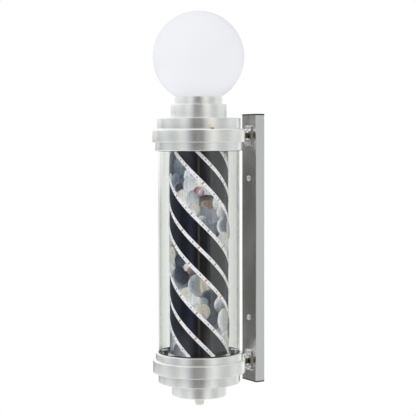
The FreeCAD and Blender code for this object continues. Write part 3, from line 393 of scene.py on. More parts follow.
def mirror_film():
    """Silvered lens film: reflections painted into the mesh as tones and given again as a painted glow, soft
    sheen, faint upright ribs.
    """
    shader = Shader("mirror_film", (0.8, 0.8, 0.8), 0.3, 0.25, Emission_Strength=0.22)
    tone = shader.node("ShaderNodeVertexColor", layer_name="tone")
    ribs = shader.noise(shader.position((620, 620, 34)), 1.0, 3.0)
    folds = shader.noise(shader.position((130, 130, 18)), 1.0, 3.0)
    level = shader.math("MULTIPLY", shader.spread(ribs, 0.72, 1.10), shader.spread(folds, 0.78, 1.12))
    grey = shader.node("ShaderNodeCombineColor")
    for channel in ("Red", "Green", "Blue"):
        shader.link(level, grey.inputs[channel])
    ribbed = shader.mix(1.0, tone.outputs["Color"], grey.outputs["Color"], "MULTIPLY")
    shader.drive("Base Color", ribbed)
    # painted light: the film glows with its painted reflections, though it is no lamp
    shader.drive("Emission Color", ribbed)
    cloud = shader.noise(shader.position((90, 90, 90)), 1.0, 3.0)
    shader.rough(cloud, 0.08).bump(cloud, 0.2 * MM, 0.2)
    return shader.material


def black_film():
    shader = Shader("black_film", (0.007, 0.007, 0.009), 0.06)
    streaks = shader.noise(shader.position((700, 700, 12)), 1.0, 4.0)
    wave = shader.noise(shader.position((60, 60, 6)), 1.0, 2.0)
    shader.rough(streaks, 0.03).bump(wave, 0.08 * MM, 0.3).bump(streaks, 0.01 * MM, 0.5)
    shader.shade(streaks, 0.5)
    return shader.material


def ribbon_board():
    """White flexible circuit board, slightly lit by its own chips."""
    shader = Shader("ribbon_board", (0.88, 0.86, 0.95), 0.35, Emission_Strength=0.26,
                    Emission_Color=(0.95, 0.93, 1.0))
    grain = shader.noise(shader.position((700, 700, 700)), 1.0, 3.0)
    shader.shade(grain, 0.05).rough(grain, 0.05)
    return shader.material


def stage_floor():
    shader = Shader("stage_floor", (0.72, 0.72, 0.715), 0.7, Emission_Strength=0.06,
                    Emission_Color=(1.0, 1.0, 1.0))
    cloud = shader.noise(shader.position((3, 3, 3)), 1.0, 3.0)
    shader.shade(cloud, 0.01)
    return shader.material


def solid(name, color, roughness, **sockets):
    shader = Shader(name, color, roughness, **sockets)
    grain = shader.noise(shader.position((500, 500, 500)), 1.0, 3.0)
    shader.shade(grain, 0.06).rough(grain, 0.05)
    return shader.material


MATERIALS = {
    "satin_aluminium": turned_aluminium("turned_aluminium", (0.875, 0.885, 0.86), 0.33),
    "channel_steel": channel_metal(),
    "zinc_steel": fastener_metal("zinc_steel", (0.96, 0.96, 0.94), 0.26),
    "chrome_steel": fastener_metal("chrome_steel", (0.85, 0.86, 0.87), 0.12),
    "dark_steel": fastener_metal("dark_steel", (0.16, 0.16, 0.17), 0.35),
    "motor_steel": fastener_metal("motor_steel", (0.55, 0.55, 0.56), 0.4),
    "brass": fastener_metal("brass", (0.80, 0.58, 0.26), 0.25),
    "black_plastic": moulded("black_plastic", (0.018, 0.018, 0.02), 0.35),
    "white_plastic": moulded("white_plastic", (0.78, 0.78, 0.77), 0.4),
    "white_pvc": moulded("white_pvc", (0.75, 0.75, 0.74), 0.45),
    "cream_nylon": moulded("cream_nylon", (0.98, 0.98, 0.90), 0.22),
    "white_ceramic": moulded("white_ceramic", (0.82, 0.82, 0.80), 0.25, 2.0 * MM),
    "rubber": moulded("rubber", (0.035, 0.035, 0.036), 0.6),
    "clear_acrylic": clear_acrylic(),
    "opal_glass": opal_glass(),
    "frosted_bulb": moulded("frosted_bulb", (0.86, 0.87, 0.9), 0.35, 1.5 * MM),
    "mirror_film": mirror_film(),
    "black_film": black_film(),
    "led_strip": ribbon_board(),
}


MADE_HERE = set()         # CAD nodes that a piece of this script stands for


def dress(piece, material):
    piece.data.materials.clear()
    piece.data.materials.append(material)


def new_piece(piece, slot, body, *replaced, material=None):
    """Material and body of a piece of this script, the material found by its slot unless one is given, and
    the CAD nodes that it stands for.
    """
    dress(piece, material or MATERIALS[slot])
    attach(piece, body)
    if replaced:
        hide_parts(*replaced)
        MADE_HERE.update(replaced)


# ---------------------------------------------------------------- globe
def make_globe():
    low, high = heights("globe")
    radius = outer_radius("globe")
    wall, neck, bead = 3.0 * MM, 40.0 * MM, 2.5 * MM
    centre = high - radius      # of the ball
    sweep = math.degrees(math.asin(neck / radius)) - 90     # where the ball meets the neck
    outline = [(neck, low + bead)]
    outline += [(neck, centre - math.sqrt(radius ** 2 - neck ** 2) - 1.2 * MM)]
    outline += arc((0, centre), radius, sweep + 0.9, 90, 96)
    inner = radius - wall
    inner_neck = neck - wall
    inner_sweep = math.degrees(math.asin(inner_neck / inner)) - 90
    outline += arc((0, centre), inner, 90, inner_sweep, 64)
    outline += [(inner_neck, low), (neck + bead, low), (neck + bead, low + bead * 0.7),
                (neck + 0.8 * MM, low + bead)]
    return lathe("globe_glass", outline)


# ---------------------------------------------------------------- turned aluminium parts
def upper_corner(radius, height, rounding):
    return arc((radius - rounding, height - rounding), rounding, 0, 90)


def lower_corner(radius, height, rounding):
    return arc((radius - rounding, height + rounding), rounding, -90, 0)


def cup_outline(node, shelf_inner, foot_inner, top_rounding, foot_rounding):
    """A cover open below: top plate with a central opening, wall, inward foot flange."""
    low, high = heights(node)
    radius = outer_radius(node)
    inner = radius - SHELL
    outline = lower_corner(radius, low, foot_rounding) + upper_corner(radius, high, top_rounding)
    outline += [(shelf_inner, high), (shelf_inner, high - PLATE), (inner, high - PLATE), (inner, low + SHELL),
                (foot_inner, low + SHELL), (foot_inner, low)]
    return outline


def dish_outline(node, floor_inner, flange_inner, bottom_rounding, top_rounding):
    """The same turned over: floor below, flange above."""
    low, high = heights(node)
    radius = outer_radius(node)
    inner = radius - SHELL
    outline = lower_corner(radius, low, bottom_rounding) + upper_corner(radius, high, top_rounding)
    outline += [(flange_inner, high), (flange_inner, high - SHELL), (inner, high - SHELL),
                (inner, low + PLATE), (floor_inner, low + PLATE), (floor_inner, low)]
    return outline


def make_collar():
    low, high = heights("globe_collar")
    radius = outer_radius("globe_gasket") + 6.25 * MM
    neck_gap = 43.5 * MM
    outline = [(12 * MM, low), (radius - 0.2 * MM, low), (radius, low + 0.2 * MM)]
    outline += upper_corner(radius, high, 1.0 * MM)
    outline += [(neck_gap + 3.4 * MM, high), (neck_gap, high - 3.4 * MM), (neck_gap, low + PLATE),
                (12 * MM, low + PLATE)]
    return lathe("collar_ring", outline)


def make_upper_band():
    low, high = heights("upper_band")
    radius = outer_radius("upper_band")
    shelf, bore = 76 * MM, outer_radius("clear_tube") + 0.6 * MM
    shelf_under = heights("clear_tube")[1] + 0.1 * MM
    shoulder = 4.6 * MM
    outline = lower_corner(radius, low, 1.6 * MM)
    outline += arc((radius - shoulder, high - shoulder), shoulder, 0, 90, 10)
    outline += [(shelf, high), (shelf, shelf_under), (bore, shelf_under), (bore, low)]
    return lathe("upper_band_turned", outline)


def make_lower_band():
    low, high = heights("lower_band")
    radius = outer_radius("lower_band")
    shelf, bore = 74 * MM, outer_radius("clear_tube") + 0.6 * MM
    shelf_top = heights("clear_tube")[0] - 0.1 * MM
    outline = lower_corner(radius, low, 1.8 * MM) + upper_corner(radius, high, 2.0 * MM)
    outline += [(bore, high), (bore, shelf_top), (shelf, shelf_top), (shelf, low)]
    return lathe("lower_band_turned", outline)


def make_tube_ring(node, name, visible_end):
    """Ring round the tube's end; visible_end is 'low' for the upper ring and 'high' for the lower one."""
    low, high = heights(node)
    radius = outer_radius(node)
    tube = outer_radius("clear_tube")
    lip, seal = tube + 1.3 * MM, tube + 2.0 * MM
    rounding = 2.0 * MM
    if visible_end == "low":
        outline = lower_corner(radius, low, rounding) + [(radius, high), (seal, high), (seal, low + PLATE),
                                                      (lip, low + PLATE), (lip, low)]
    else:
        outline = [(radius, low)] + upper_corner(radius, high, rounding) + [
            (lip, high), (lip, high - PLATE), (seal, high - PLATE), (seal, low)]
    return lathe(name, outline)


def make_turned_parts():
    new_piece(make_globe(), "opal_glass", "pole", "globe")
    # painted light: the collar, step cap and bottom cup get a lighter, rougher copy of the same turned
    # aluminium
    bright = turned_aluminium("turned_aluminium_lit_copy", (0.945, 0.955, 0.93), 0.40)
    step_cap = cup_outline("step_cap", 12 * MM, outer_radius("step_cap") - 10 * MM, 1.8 * MM, 0.5 * MM)
    top_cover = cup_outline("top_cover", 44 * MM, 77 * MM, 1.9 * MM, 0.5 * MM)
    lower_cover = dish_outline("lower_cover", 44 * MM, 74 * MM, 1.8 * MM, 0.5 * MM)
    bottom_cup = dish_outline("bottom_cup", 8.1 * MM, 44 * MM, 2.4 * MM, 0.4 * MM)
    for node, piece, finish in (
            ("globe_collar", make_collar(), bright),
            ("step_cap", lathe("step_cap_turned", step_cap), bright),
            ("top_cover", lathe("top_cover_turned", top_cover), None),
            ("upper_band", make_upper_band(), None),
            ("upper_tube_ring", make_tube_ring("upper_tube_ring", "upper_ring_turned", "low"), None),
            ("lower_tube_ring", make_tube_ring("lower_tube_ring", "lower_ring_turned", "high"), None),
            ("lower_band", make_lower_band(), None),
            ("lower_cover", lathe("lower_cover_turned", lower_cover), None),
            ("bottom_cup", lathe("bottom_cup_turned", bottom_cup), bright)):
        new_piece(piece, "satin_aluminium", "pole", node, material=finish)


def make_clear_tube():
    low, high = heights("clear_tube")
    radius = outer_radius("clear_tube")
    wall, edge = 3.0 * MM, 0.3 * MM
    inner = radius - wall
    outline = lower_corner(radius, low, edge) + upper_corner(radius, high, edge)
    outline += [(inner, high), (inner, low)]
    new_piece(lathe("clear_tube_wall", outline), "clear_acrylic", "pole", "clear_tube")


# ---------------------------------------------------------------- helix on the drum
def stripe_height(level, angle, start=0):
    """Height at `angle` of the helical line that passes `level` on the FACING direction."""
    return level - HELIX_LEAD * (angle - FACING) / math.tau + start * PERIOD


def angle_at(level, height, start=0):
    return FACING + (level + start * PERIOD - height) * math.tau / HELIX_LEAD


class Patch:
    """Collects grids and boxes for one mesh, with a colour for each corner if wanted."""

    def __init__(self):
        self.verts, self.faces, self.tones = [], [], []

    def vert(self, place, tone=(1.0, 1.0, 1.0)):
        self.verts.append(place)
        self.tones.append((*tone, 1.0))
        return len(self.verts) - 1

    def strip(self, rows, closed=False):
        """Quads between rows of vertex indices."""
        for row, following in zip(rows, rows[1:]):
            count = len(row)
            for index in range(count if closed else count - 1):
                after = (index + 1) % count
                self.faces.append((row[index], row[after], following[after], following[index]))

    def piece(self, name, with_tones=False, sharp_degrees=40.0):
        made = mesh_piece(name, self.verts, self.faces, sharp_degrees)
        if with_tones:
            layer = made.data.color_attributes.new("tone", "FLOAT_COLOR", "POINT")
            for item, tone in zip(layer.data, self.tones):
                item.color = tone
        return made


BLACK_RADII = (61.5 * MM, 61.9 * MM)
BOARD_RADII = (61.95 * MM, 62.45 * MM)
FILM_STEPS = 220


def helical_film(patch, top, bottom, inner, outer, start, rows=2):
    """A solid film between two helical edges, cut off square at the drum's ends."""
    first = angle_at(bottom, DRUM_TOP, start)
    last = angle_at(top, DRUM_BOTTOM, start)
    columns = []
    for step in range(FILM_STEPS + 1):
        angle = first + (last - first) * step / FILM_STEPS
        high = min(max(stripe_height(top, angle, start), DRUM_BOTTOM), DRUM_TOP)
        low = min(max(stripe_height(bottom, angle, start), DRUM_BOTTOM), DRUM_TOP)
        if high - low < 0.02 * MM:
            continue
        loop = []
        for row in range(rows + 1):
            loop.append(patch.vert(on_axis(angle, low + (high - low) * row / rows, outer)))
        for row in range(rows, -1, -1):
            loop.append(patch.vert(on_axis(angle, low + (high - low) * row / rows, inner)))
        columns.append(loop)
    patch.strip(columns, closed=True)
    patch.faces.append(tuple(reversed(columns[0])))
    patch.faces.append(tuple(columns[-1]))


def make_black_bands():
    patch = Patch()
    for start in range(STARTS):
        helical_film(patch, STRIP_HEIGHTS[0], STRIP_HEIGHTS[2], *BLACK_RADII, start)
    new_piece(patch.piece("black_film_bands"), "black_film", "drum", "black_bands")


# ---------------------------------------------------------------- light strips
SEGMENT = 50.0 * MM                 # a cuttable length of strip
CHIP_PLACES = (8.3 * MM, 25.0 * MM, 41.7 * MM)
STRIP_MARGIN = 5 * MM               # nothing is soldered nearer than this to the drum's ends
ARC_PER_RADIAN = math.hypot(DRUM_RADIUS, HELIX_LEAD / math.tau)
STRIP_SLOPE = math.atan2(-HELIX_LEAD / math.tau, DRUM_RADIUS)
# where a segment starts, in degrees round the drum, for each (start, strip); strips 0, 1 and 2 run along the
# upper edge, the middle and the lower edge of a black band
PAD_PHASES = {(0, 0): 20.1, (0, 1): 1.0, (0, 2): 14.9, (1, 0): 27.7, (1, 1): 25.4, (1, 2): 9.4}


def strip_place(level, start, angle, along, across, radius):
    """A point `along` and `across` a strip, measured from its centre line at `angle`."""
    run = along * math.cos(STRIP_SLOPE) - across * math.sin(STRIP_SLOPE)
    rise = along * math.sin(STRIP_SLOPE) + across * math.cos(STRIP_SLOPE)
    here = angle + run / DRUM_RADIUS
    return on_axis(here, stripe_height(level, angle, start) + rise, radius)


def pad_box(patch, level, start, angle, along, across, length, width, low, high, inset):
    """A low block on the strip, its top edges drawn in by `inset`."""
    rows = []
    for radius, shrink in ((low, 0.0), (high - inset, 0.0), (high, inset)):
        row = []
        for side_a, side_b in ((-1, -1), (1, -1), (1, 1), (-1, 1)):
            a = along + side_a * (length / 2 - shrink)
            b = across + side_b * (width / 2 - shrink)
            row.append(patch.vert(strip_place(level, start, angle, a, b, radius)))
        rows.append(row)
    patch.strip(rows, closed=True)
    patch.faces.append(tuple(reversed(rows[0])))
    patch.faces.append(tuple(rows[-1]))


def segment_angles(start, which):
    """Angles of the segment boundaries that lie on the drum."""
    level = STRIP_HEIGHTS[which]
    turn = SEGMENT / ARC_PER_RADIAN
    phase = math.radians(PAD_PHASES[(start, which)])
    first, last = angle_at(level, DRUM_TOP, start), angle_at(level, DRUM_BOTTOM, start)
    number = math.ceil((first - phase) / turn) - 1
    angles = []
    while phase + number * turn < last:
        angles.append(phase + number * turn)
        number += 1
    return angles


# name and material of what is soldered or printed on a segment, its places along and across the strip,
# its length and width, its foot and top over the board, and how far its top edges are drawn in
STRIP_PARTS = (
    ("strip_chips", solid("chip_body", (0.86, 0.86, 0.84), 0.3),
     CHIP_PLACES, (0,), 3.5 * MM, 2.8 * MM, -0.02 * MM, 1.3 * MM, 0.2 * MM),
    ("strip_chip_lenses", solid("chip_phosphor", (0.76, 0.84, 0.12), 0.35, Emission_Strength=0.12,
                                Emission_Color=(0.85, 0.9, 0.3)),
     CHIP_PLACES, (0,), 3.0 * MM, 2.5 * MM, 1.28 * MM, 1.42 * MM, 0.1 * MM),
    ("strip_solder_pads", solid("solder_pad", (0.66, 0.35, 0.19), 0.4),
     (0,), (0,), 3.4 * MM, 6.0 * MM, -0.02 * MM, 0.12 * MM, 0.0),
    ("strip_resistors", solid("resistor_body", (0.03, 0.03, 0.07), 0.4),
     (33.3 * MM,), (0,), 3.0 * MM, 2.0 * MM, -0.02 * MM, 0.55 * MM, 0.06 * MM),
    ("strip_tracks", solid("strip_track", (0.45, 0.42, 0.60), 0.45),
     (14.5 * MM, 19.0 * MM, 37.5 * MM, 46.0 * MM), (-2.9 * MM, 2.9 * MM), 2.6 * MM, 0.5 * MM,
     -0.02 * MM, 0.05 * MM, 0.0),
)


def on_strip(level, start, angle, along):
    height = stripe_height(level, angle, start) + along * math.sin(STRIP_SLOPE)
    return DRUM_BOTTOM + STRIP_MARGIN < height < DRUM_TOP - STRIP_MARGIN


def fill_strip(patch, level, start, angles, alongs, acrosses, length, width, foot, top, inset):
    """One kind of part on all the segments of a strip."""
    low, high = BOARD_RADII[1] + foot, BOARD_RADII[1] + top
    for angle in angles:
        for along in alongs:
            if on_strip(level, start, angle, along):
                for across in acrosses:
                    pad_box(patch, level, start, angle, along, across, length, width, low, high, inset)


def make_light_strips():
    board = Patch()
    patches = [Patch() for _ in STRIP_PARTS]
    for start in range(STARTS):
        for which, level in enumerate(STRIP_HEIGHTS):
            top, bottom = level + STRIP_HALF_HEIGHT, level - STRIP_HALF_HEIGHT
            helical_film(board, top, bottom, *BOARD_RADII, start, rows=1)
            for patch, (_, _, *layout) in zip(patches, STRIP_PARTS):
                fill_strip(patch, level, start, segment_angles(start, which), *layout)
    new_piece(board.piece("strip_boards"), "led_strip", "drum", "led_strips")
    for patch, (name, material, *_) in zip(patches, STRIP_PARTS):
        new_piece(patch.piece(name), "led_strip", "drum", material=material)


# ---------------------------------------------------------------- mirror film with its fish-scale lenses
# painted reflections: the colours that the mirror film shows of the room round it, with a white glint for
# painted highlights
REFLECTION_TONES = {
    "night": (0.028, 0.031, 0.044),
    "slate": (0.075, 0.088, 0.118),
    "blue": (0.21, 0.255, 0.30),
    "grey": (0.38, 0.395, 0.41),
    "pale": (0.62, 0.64, 0.67),
    "white": (0.84, 0.86, 0.88),
    "glint": (1.0, 1.0, 1.0),
    "cream": (0.76, 0.72, 0.63),
    "sand": (0.52, 0.48, 0.40),
    "tan": (0.34, 0.265, 0.22),
    "brown": (0.17, 0.12, 0.10),
    "wine": (0.33, 0.085, 0.12),
}
SCALE_BASE = 61.46 * MM
SCALE_SIDES = 30
SCALE_RINGS = 7
BAND_LOW = STRIP_HEIGHTS[0] - PERIOD
BAND_HIGH = STRIP_HEIGHTS[2]
EDGE_EASE = 9.0 * MM        # a scale flattens over this distance before it goes under a light strip
LAYER_RISE = 0.13 * MM      # height of one layer of scales over the next
LAYER_BASE = 0.025 * MM     # what is left of that at the edge of a band
SCALE_CROWN = 0.22 * MM
FIELD_LAYERS = 5
SHADE_START, EDGE_SHADE = 0.84, 0.30    # where a scale's painted shade at its outer edge starts, and how dark it gets
RIM_START, RIM_LIGHT = 0.62, 1.3        # the same for the painted highlight on the rim
FAN_FOLDS, FAN_DEPTH = 9, 0.09          # rays in a scale's tone

# Scales laid on the side that shows in the rest pose: degrees round the drum; height, half width and
# half height in mm; painted reflection tone at the start and at the end of a direction; that direction, in
# degrees clockwise from upright, seen from outside; and how strong the painted highlight on the rim is
# where the direction starts.
FRONT_SCALES = (
    (-94, 176, 20, 30, "slate", "night", 160, 0.0),
    (-74, 170, 15, 26, "blue", "slate", 200, 0.1),
    (-58, 166, 8, 16, "slate", "blue", 200, 0.0),
    (-62, 146, 10, 16, "slate", "blue", 160, 0.0),
    (-100, 138, 15, 26, "pale", "blue", 120, 0.5),
    (-80, 146, 14, 18, "blue", "slate", 150, 0.1),
    (-74, 131, 13, 16, "night", "slate", 120, 0.5),
    (-42, 156, 20, 24, "white", "pale", 150, 0.3),
    (-46, 138, 17, 24, "pale", "white", 200, 0.2),
    (-24, 140, 20, 18, "white", "cream", 180, 0.1),
    (-12, 128, 20, 18, "pale", "cream", 100, 0.0),
    (-66, 110, 21, 21, "cream", "white", 130, 0.2),
    (-42, 108, 13, 22, "grey", "white", 200, 0.0),
    (-31, 129, 10, 8, "wine", "pale", 100, 0.0),
    (-27, 125, 6, 7, "white", "wine", 110, 0.0),
    (-5, 62, 22, 24, "blue", "slate", 90, 0.1),
    (-8, 82, 22, 26, "blue", "grey", 40, 0.1),
    (-40, 90, 12, 14, "cream", "pale", 200, 0.2),
    (-15, 107, 17, 14, "night", "tan", 190, 0.0),
    (-13, 101, 15, 10, "tan", "brown", 80, 0.3),
    (4, 103, 10, 15, "white", "pale", 160, 0.0),
    (-43, 80, 7, 11, "cream", "white", 90, 0.2),
    (-25, 72, 9, 5, "white", "blue", 120, 0.4),
    (12, 18, 14, 16, "cream", "slate", 90, 0.3),
    (21, 84, 18, 18, "pale", "slate", 120, 1.0),
    (24, 55, 21, 20, "blue", "slate", 90, 1.0),
    (22, 28, 16, 15, "pale", "cream", 120, 0.3),
    (44, 50, 14, 24, "pale", "grey", 90, 0.2),
    (-96, -10, 15, 22, "cream", "pale", 170, 0.2),
    (-97, -40, 14, 14, "white", "blue", 190, 0.6),
    (-71, -16, 15, 13, "night", "slate", 140, 0.0),
    (-66, -62, 16, 12, "blue", "slate", 20, 0.1),
    (-71, -49, 22, 19, "slate", "night", 60, 0.3),
    (-55, -30, 7, 8, "cream", "white", 110, 0.4),
    (-47, -36, 8, 9, "tan", "brown", 150, 0.1),
    (-51, -90, 23, 20, "cream", "white", 120, 0.4),
    (-32, -66, 22, 24, "blue", "sand", 90, 0.6),
    (-20, -66, 12, 20, "sand", "cream", 270, 0.1),
    (-6, -124, 15, 30, "slate", "night", 100, 0.1),
    (-11, -90, 18, 15, "slate", "night", 120, 0.2),
    (-23, -101, 10, 10, "pale", "blue", 90, 0.6),
    (-26, -121, 17, 18, "cream", "sand", 130, 0.2),
    (15, -108, 18, 18, "pale", "slate", 150, 1.0),
    (27, -140, 22, 26, "pale", "sand", 90, 1.0),
    (31, -182, 18, 18, "pale", "cream", 120, 0.6),
    (48, -160, 14, 24, "slate", "grey", 120, 0.2),
    (-96, -186, 16, 22, "slate", "pale", 90, 0.2),
    (-78, -206, 13, 16, "slate", "grey", 120, 0.1),
    (-66, -200, 5, 9, "pale", "blue", 120, 0.3),
)
# pairs of painted reflection tones for the scales of the field
BACK_REFLECTION_TONES = (("slate", "night"), ("blue", "slate"), ("pale", "blue"), ("cream", "sand"), ("white", "pale"),
              ("grey", "blue"), ("blue", "sand"), ("tan", "brown"), ("pale", "cream"), ("slate", "blue"))


def blend_tones(first, second, share):
    return [a + (b - a) * share for a, b in zip(first, second)]


def nearest_start(angle, height):
    """Which mirror band a place is in, as the start number of its helix."""
    level = height + HELIX_LEAD * (angle - FACING) / math.tau
    return round((level - (BAND_LOW + BAND_HIGH) / 2) / PERIOD)


def scale(patch, layer, angle, height, half_width, half_height, tones, direction, rim):
    """A shallow lens of the film: a low dome with a painted reflection that runs from one side to the other,
    a painted highlight on the rim and painted shade at its outer edge.

    `layer` sets which of two overlapping scales is on top.
    """
    start = nearest_start(angle, height)
    first, last = REFLECTION_TONES[tones[0]], REFLECTION_TONES[tones[1]]
    heading = math.radians(direction)
    base = SCALE_BASE + layer * LAYER_BASE
    rows = []
    for ring in range(SCALE_RINGS + 2):
        share = min(ring / SCALE_RINGS, 1.0)
        row = []
        for side in range(SCALE_SIDES):
            around = math.tau * side / SCALE_SIDES
            across, up = half_width * share * math.sin(around), half_height * share * math.cos(around)
            here_angle, here_height = angle + across / DRUM_RADIUS, height + up
            level = here_height + HELIX_LEAD * (here_angle - FACING) / math.tau - start * PERIOD
            edge = min(level - BAND_LOW, BAND_HIGH - level) - STRIP_HALF_HEIGHT
            ease = min(max(edge / EDGE_EASE, 0.0), 1.0)
            rise = (LAYER_RISE * layer + SCALE_CROWN * (1 - share ** 2)) * ease
            if ring > SCALE_RINGS:
                rise = -LAYER_RISE
            here_height = min(max(here_height, DRUM_BOTTOM + 0.3 * MM), DRUM_TOP - 0.3 * MM)
            along = 0.5 + 0.5 * share * math.cos(around - heading)
            fan = FAN_DEPTH * math.sin(FAN_FOLDS * around + 5 * layer) * share
            colour = blend_tones(first, last, min(max(along * 1.2 - 0.1 + fan, 0.0), 1.0))
            # painted shade along the scale's outer edge, where it lies over the next
            shade = EDGE_SHADE * max(share - SHADE_START, 0.0) / (1 - SHADE_START)
            colour = blend_tones(colour, REFLECTION_TONES["night"], shade)
            # painted highlight on the rim, strongest where the direction starts
            light = RIM_LIGHT * rim * max(share - RIM_START, 0.0) / (1 - RIM_START)
            light *= max(math.cos(around - heading + math.pi), 0.0)
            colour = blend_tones(colour, REFLECTION_TONES["glint"], min(light, 1.0))
            row.append(patch.vert(on_axis(here_angle, here_height, base + rise), colour))
        rows.append(row)
    patch.strip(rows[1:], closed=True)
    patch.faces.append(tuple(rows[1]))


def scale_layers(scales, lowest):
    """A layer for each scale in turn: one above any earlier scale that it overlaps."""
    layers = []
    for number, (degrees, height, wide, high, *_) in enumerate(scales):
        layer = lowest
        for earlier, (other, other_height, other_wide, other_high, *_) in enumerate(scales[:number]):
            apart = math.radians(degrees - other) * DRUM_RADIUS / MM
            reach = math.hypot(apart / (wide + other_wide), (height - other_height) / (high + other_high))
            if reach < 1.0:
                layer = max(layer, layers[earlier] + 1)
        layers.append(layer)
    return layers


def mirror_base():
    patch = Patch()
    inner, outer = 61.05 * MM, 61.45 * MM
    rows = []
    steps = 360
    for radius, height in ((inner, DRUM_BOTTOM), (outer, DRUM_BOTTOM), (outer, DRUM_TOP), (inner, DRUM_TOP),
                           (inner, DRUM_BOTTOM)):
        row = [patch.vert(on_axis(math.tau * step / steps, height, radius), REFLECTION_TONES["grey"])
               for step in range(steps)]
        rows.append(row)
    patch.strip(rows, closed=True)
    return patch


def scale_field(patch):
    """Scales over both mirror bands in staggered rows; the listed ones of the front go on top."""
    dice = random.Random(11)
    step_along, rows = 17.0 * MM, 5
    count = int(math.tau * DRUM_RADIUS / step_along)
    field = []
    for start in range(-2, STARTS + 2):
        for step in range(count):
            for row in range(rows):
                angle = math.tau * (step + 0.5 * (row % 2) + dice.uniform(-0.25, 0.25)) / count - math.pi
                level = BAND_LOW + (row + 0.5 + dice.uniform(-0.3, 0.3)) * (BAND_HIGH - BAND_LOW) / rows
                height = level + start * PERIOD - HELIX_LEAD * (angle - FACING) / math.tau
                shape = (dice.uniform(11, 17) * MM, dice.uniform(13, 20) * MM)
                look = (dice.choice(BACK_REFLECTION_TONES), dice.uniform(0, 360), dice.choice((0, 0.3, 0.8)))
                if DRUM_BOTTOM + 3 * MM < height < DRUM_TOP - 3 * MM:
                    field.append((angle, height, *shape, *look))
    for number, item in enumerate(field):
        scale(patch, number * 3 % FIELD_LAYERS, *item)
    layers = scale_layers(FRONT_SCALES, FIELD_LAYERS + 2)
    for layer, (degrees, height, wide, high, first, last, *light) in zip(layers, FRONT_SCALES):
        scale(patch, layer, math.radians(degrees), height * MM, wide * MM, high * MM, (first, last), *light)


def make_mirror():
    patch = mirror_base()
    scale_field(patch)
    new_piece(patch.piece("mirror_scales", with_tones=True, sharp_degrees=35), "mirror_film", "drum",
              "mirror_wrap")


# ---------------------------------------------------------------- carried-over CAD nodes
def dress_cad_nodes():
    """Every CAD node that keeps its shape gets its material, and all but the plain ones get softened edges.
    """
    plain = {"bulb", "riser_cable", "tube_seals"}
    finishes = {"pole_lugs": lug_metal(),
                "hole_plugs": fastener_metal("plug_metal", (0.95, 0.95, 0.95), 0.30)}
    slots = {part["node"]: part["material_slot"] for part in frame["record"]["subparts"]}
    for name, node in NODES.items():
        if name in MADE_HERE:
            continue
        dress(node, finishes.get(name) or MATERIALS[slots[name]])
        if name not in plain:
            soften(name, SADDLE_BEVEL if "saddle" in name else BEVEL)


# ---------------------------------------------------------------- camera, light and stage
CAMERA_AZIMUTH = math.radians(-31.3)      # round the pole's axis, from +X
CAMERA_DISTANCE = 2.679
CAMERA_HEIGHT = 0.228
CAMERA_LENS = 110.6
CAMERA_ROLL = math.radians(-0.13)
AIM = Vector((0.0121, -0.1330, 0.0899))   # just beside the pole, a little over the middle


def make_camera():
    data = bpy.data.cameras.new("camera")
    data.lens = CAMERA_LENS
    data.sensor_width = 36.0
    camera = bpy.data.objects.new("camera", data)
    bpy.context.scene.collection.objects.link(camera)
    out = Vector((math.cos(CAMERA_AZIMUTH), math.sin(CAMERA_AZIMUTH), 0.0))
    camera.location = POLE + out * CAMERA_DISTANCE + Vector((0, 0, CAMERA_HEIGHT))
    look = (AIM - camera.location).to_track_quat("-Z", "Y") @ Quaternion((0, 0, 1), CAMERA_ROLL)
    camera.rotation_euler = look.to_euler()
    bpy.context.scene.camera = camera


def ramp(tree, value, stops):
    """A colour ramp over degrees from -180 to 180; stops are (degrees, brightness or colour)."""
    made = tree.nodes.new("ShaderNodeValToRGB")
    made.color_ramp.interpolation = "EASE"
    elements = made.color_ramp.elements
    while len(elements) > 1:
        elements.remove(elements[-1])
    for number, (degrees, colour) in enumerate(stops):
        place = (degrees + 180.0) / 360.0
        element = elements[0] if number == 0 else elements.new(place)
        element.position = place
        if isinstance(colour, (int, float)):
            colour = (colour, colour, colour)
        element.color = (*colour, 1.0)
    tree.links.new(value, made.inputs["Fac"])
    return made.outputs["Color"]


# The studio as the object sees it, in degrees round from the camera's side: soft boxes with dark gaps.
# STUDIO_LEVEL is the zone just under the horizon, and STUDIO_HIGH is what lies above and below that zone.
STUDIO_HIGH = (
    (-180, 1.05), (-110, 1.28), (-66, 0.90), (-43, 1.28), (-32, 0.98), (-23, 0.48), (-14, 0.20), (0, 0.14),
    (10, 0.20), (21, 0.92), (35, 1.14), (47, 0.84), (60, 0.50), (76, 0.48), (112, 0.90), (140, 0.75),
    (172, 0.60), (180, 1.05))
STUDIO_LEVEL = (
    (-180, 0.85), (-172, 0.30), (-150, (0.12, 0.13, 0.15)), (-130, (0.13, 0.13, 0.13)),
    (-121, (0.13, 0.125, 0.113)), (-111, (0.12, 0.115, 0.103)), (-100, (0.19, 0.225, 0.29)),
    (-84, (0.24, 0.28, 0.36)), (-66, (0.13, 0.15, 0.20)), (-50, (0.055, 0.055, 0.07)),
    (-40, (0.08, 0.10, 0.16)), (-24, (0.19, 0.22, 0.34)), (-10, (0.07, 0.07, 0.09)), (-5, (0.06, 0.06, 0.06)),
    (-2, (0.47, 0.43, 0.39)), (1, (0.42, 0.39, 0.36)), (4, (0.10, 0.09, 0.09)), (31, (0.15, 0.14, 0.15)),
    (34, (0.68, 0.69, 0.71)), (72, (0.72, 0.73, 0.73)), (88, (0.80, 0.84, 0.88)), (120, 0.60), (136, 1.1),
    (150, 1.4), (164, 1.4), (173, 0.2), (180, 0.2))
LEVEL_DIP = 0.08                        # how far the middle of the level zone is under the horizon (a sine)
LEVEL_FADE = (0.12, 0.20)               # where the zone starts and ends to fade, on both sides of its middle
BEHIND = (math.radians(123.0), math.radians(128.0))     # from here on round the back, the zone is
BEHIND_DIP, BEHIND_NARROWING = 0.036, 0.65              # this much lower and this much narrower
CEILING_FADE = (0.52, 0.72)
CEILING = (1.05, 1.05, 1.05)


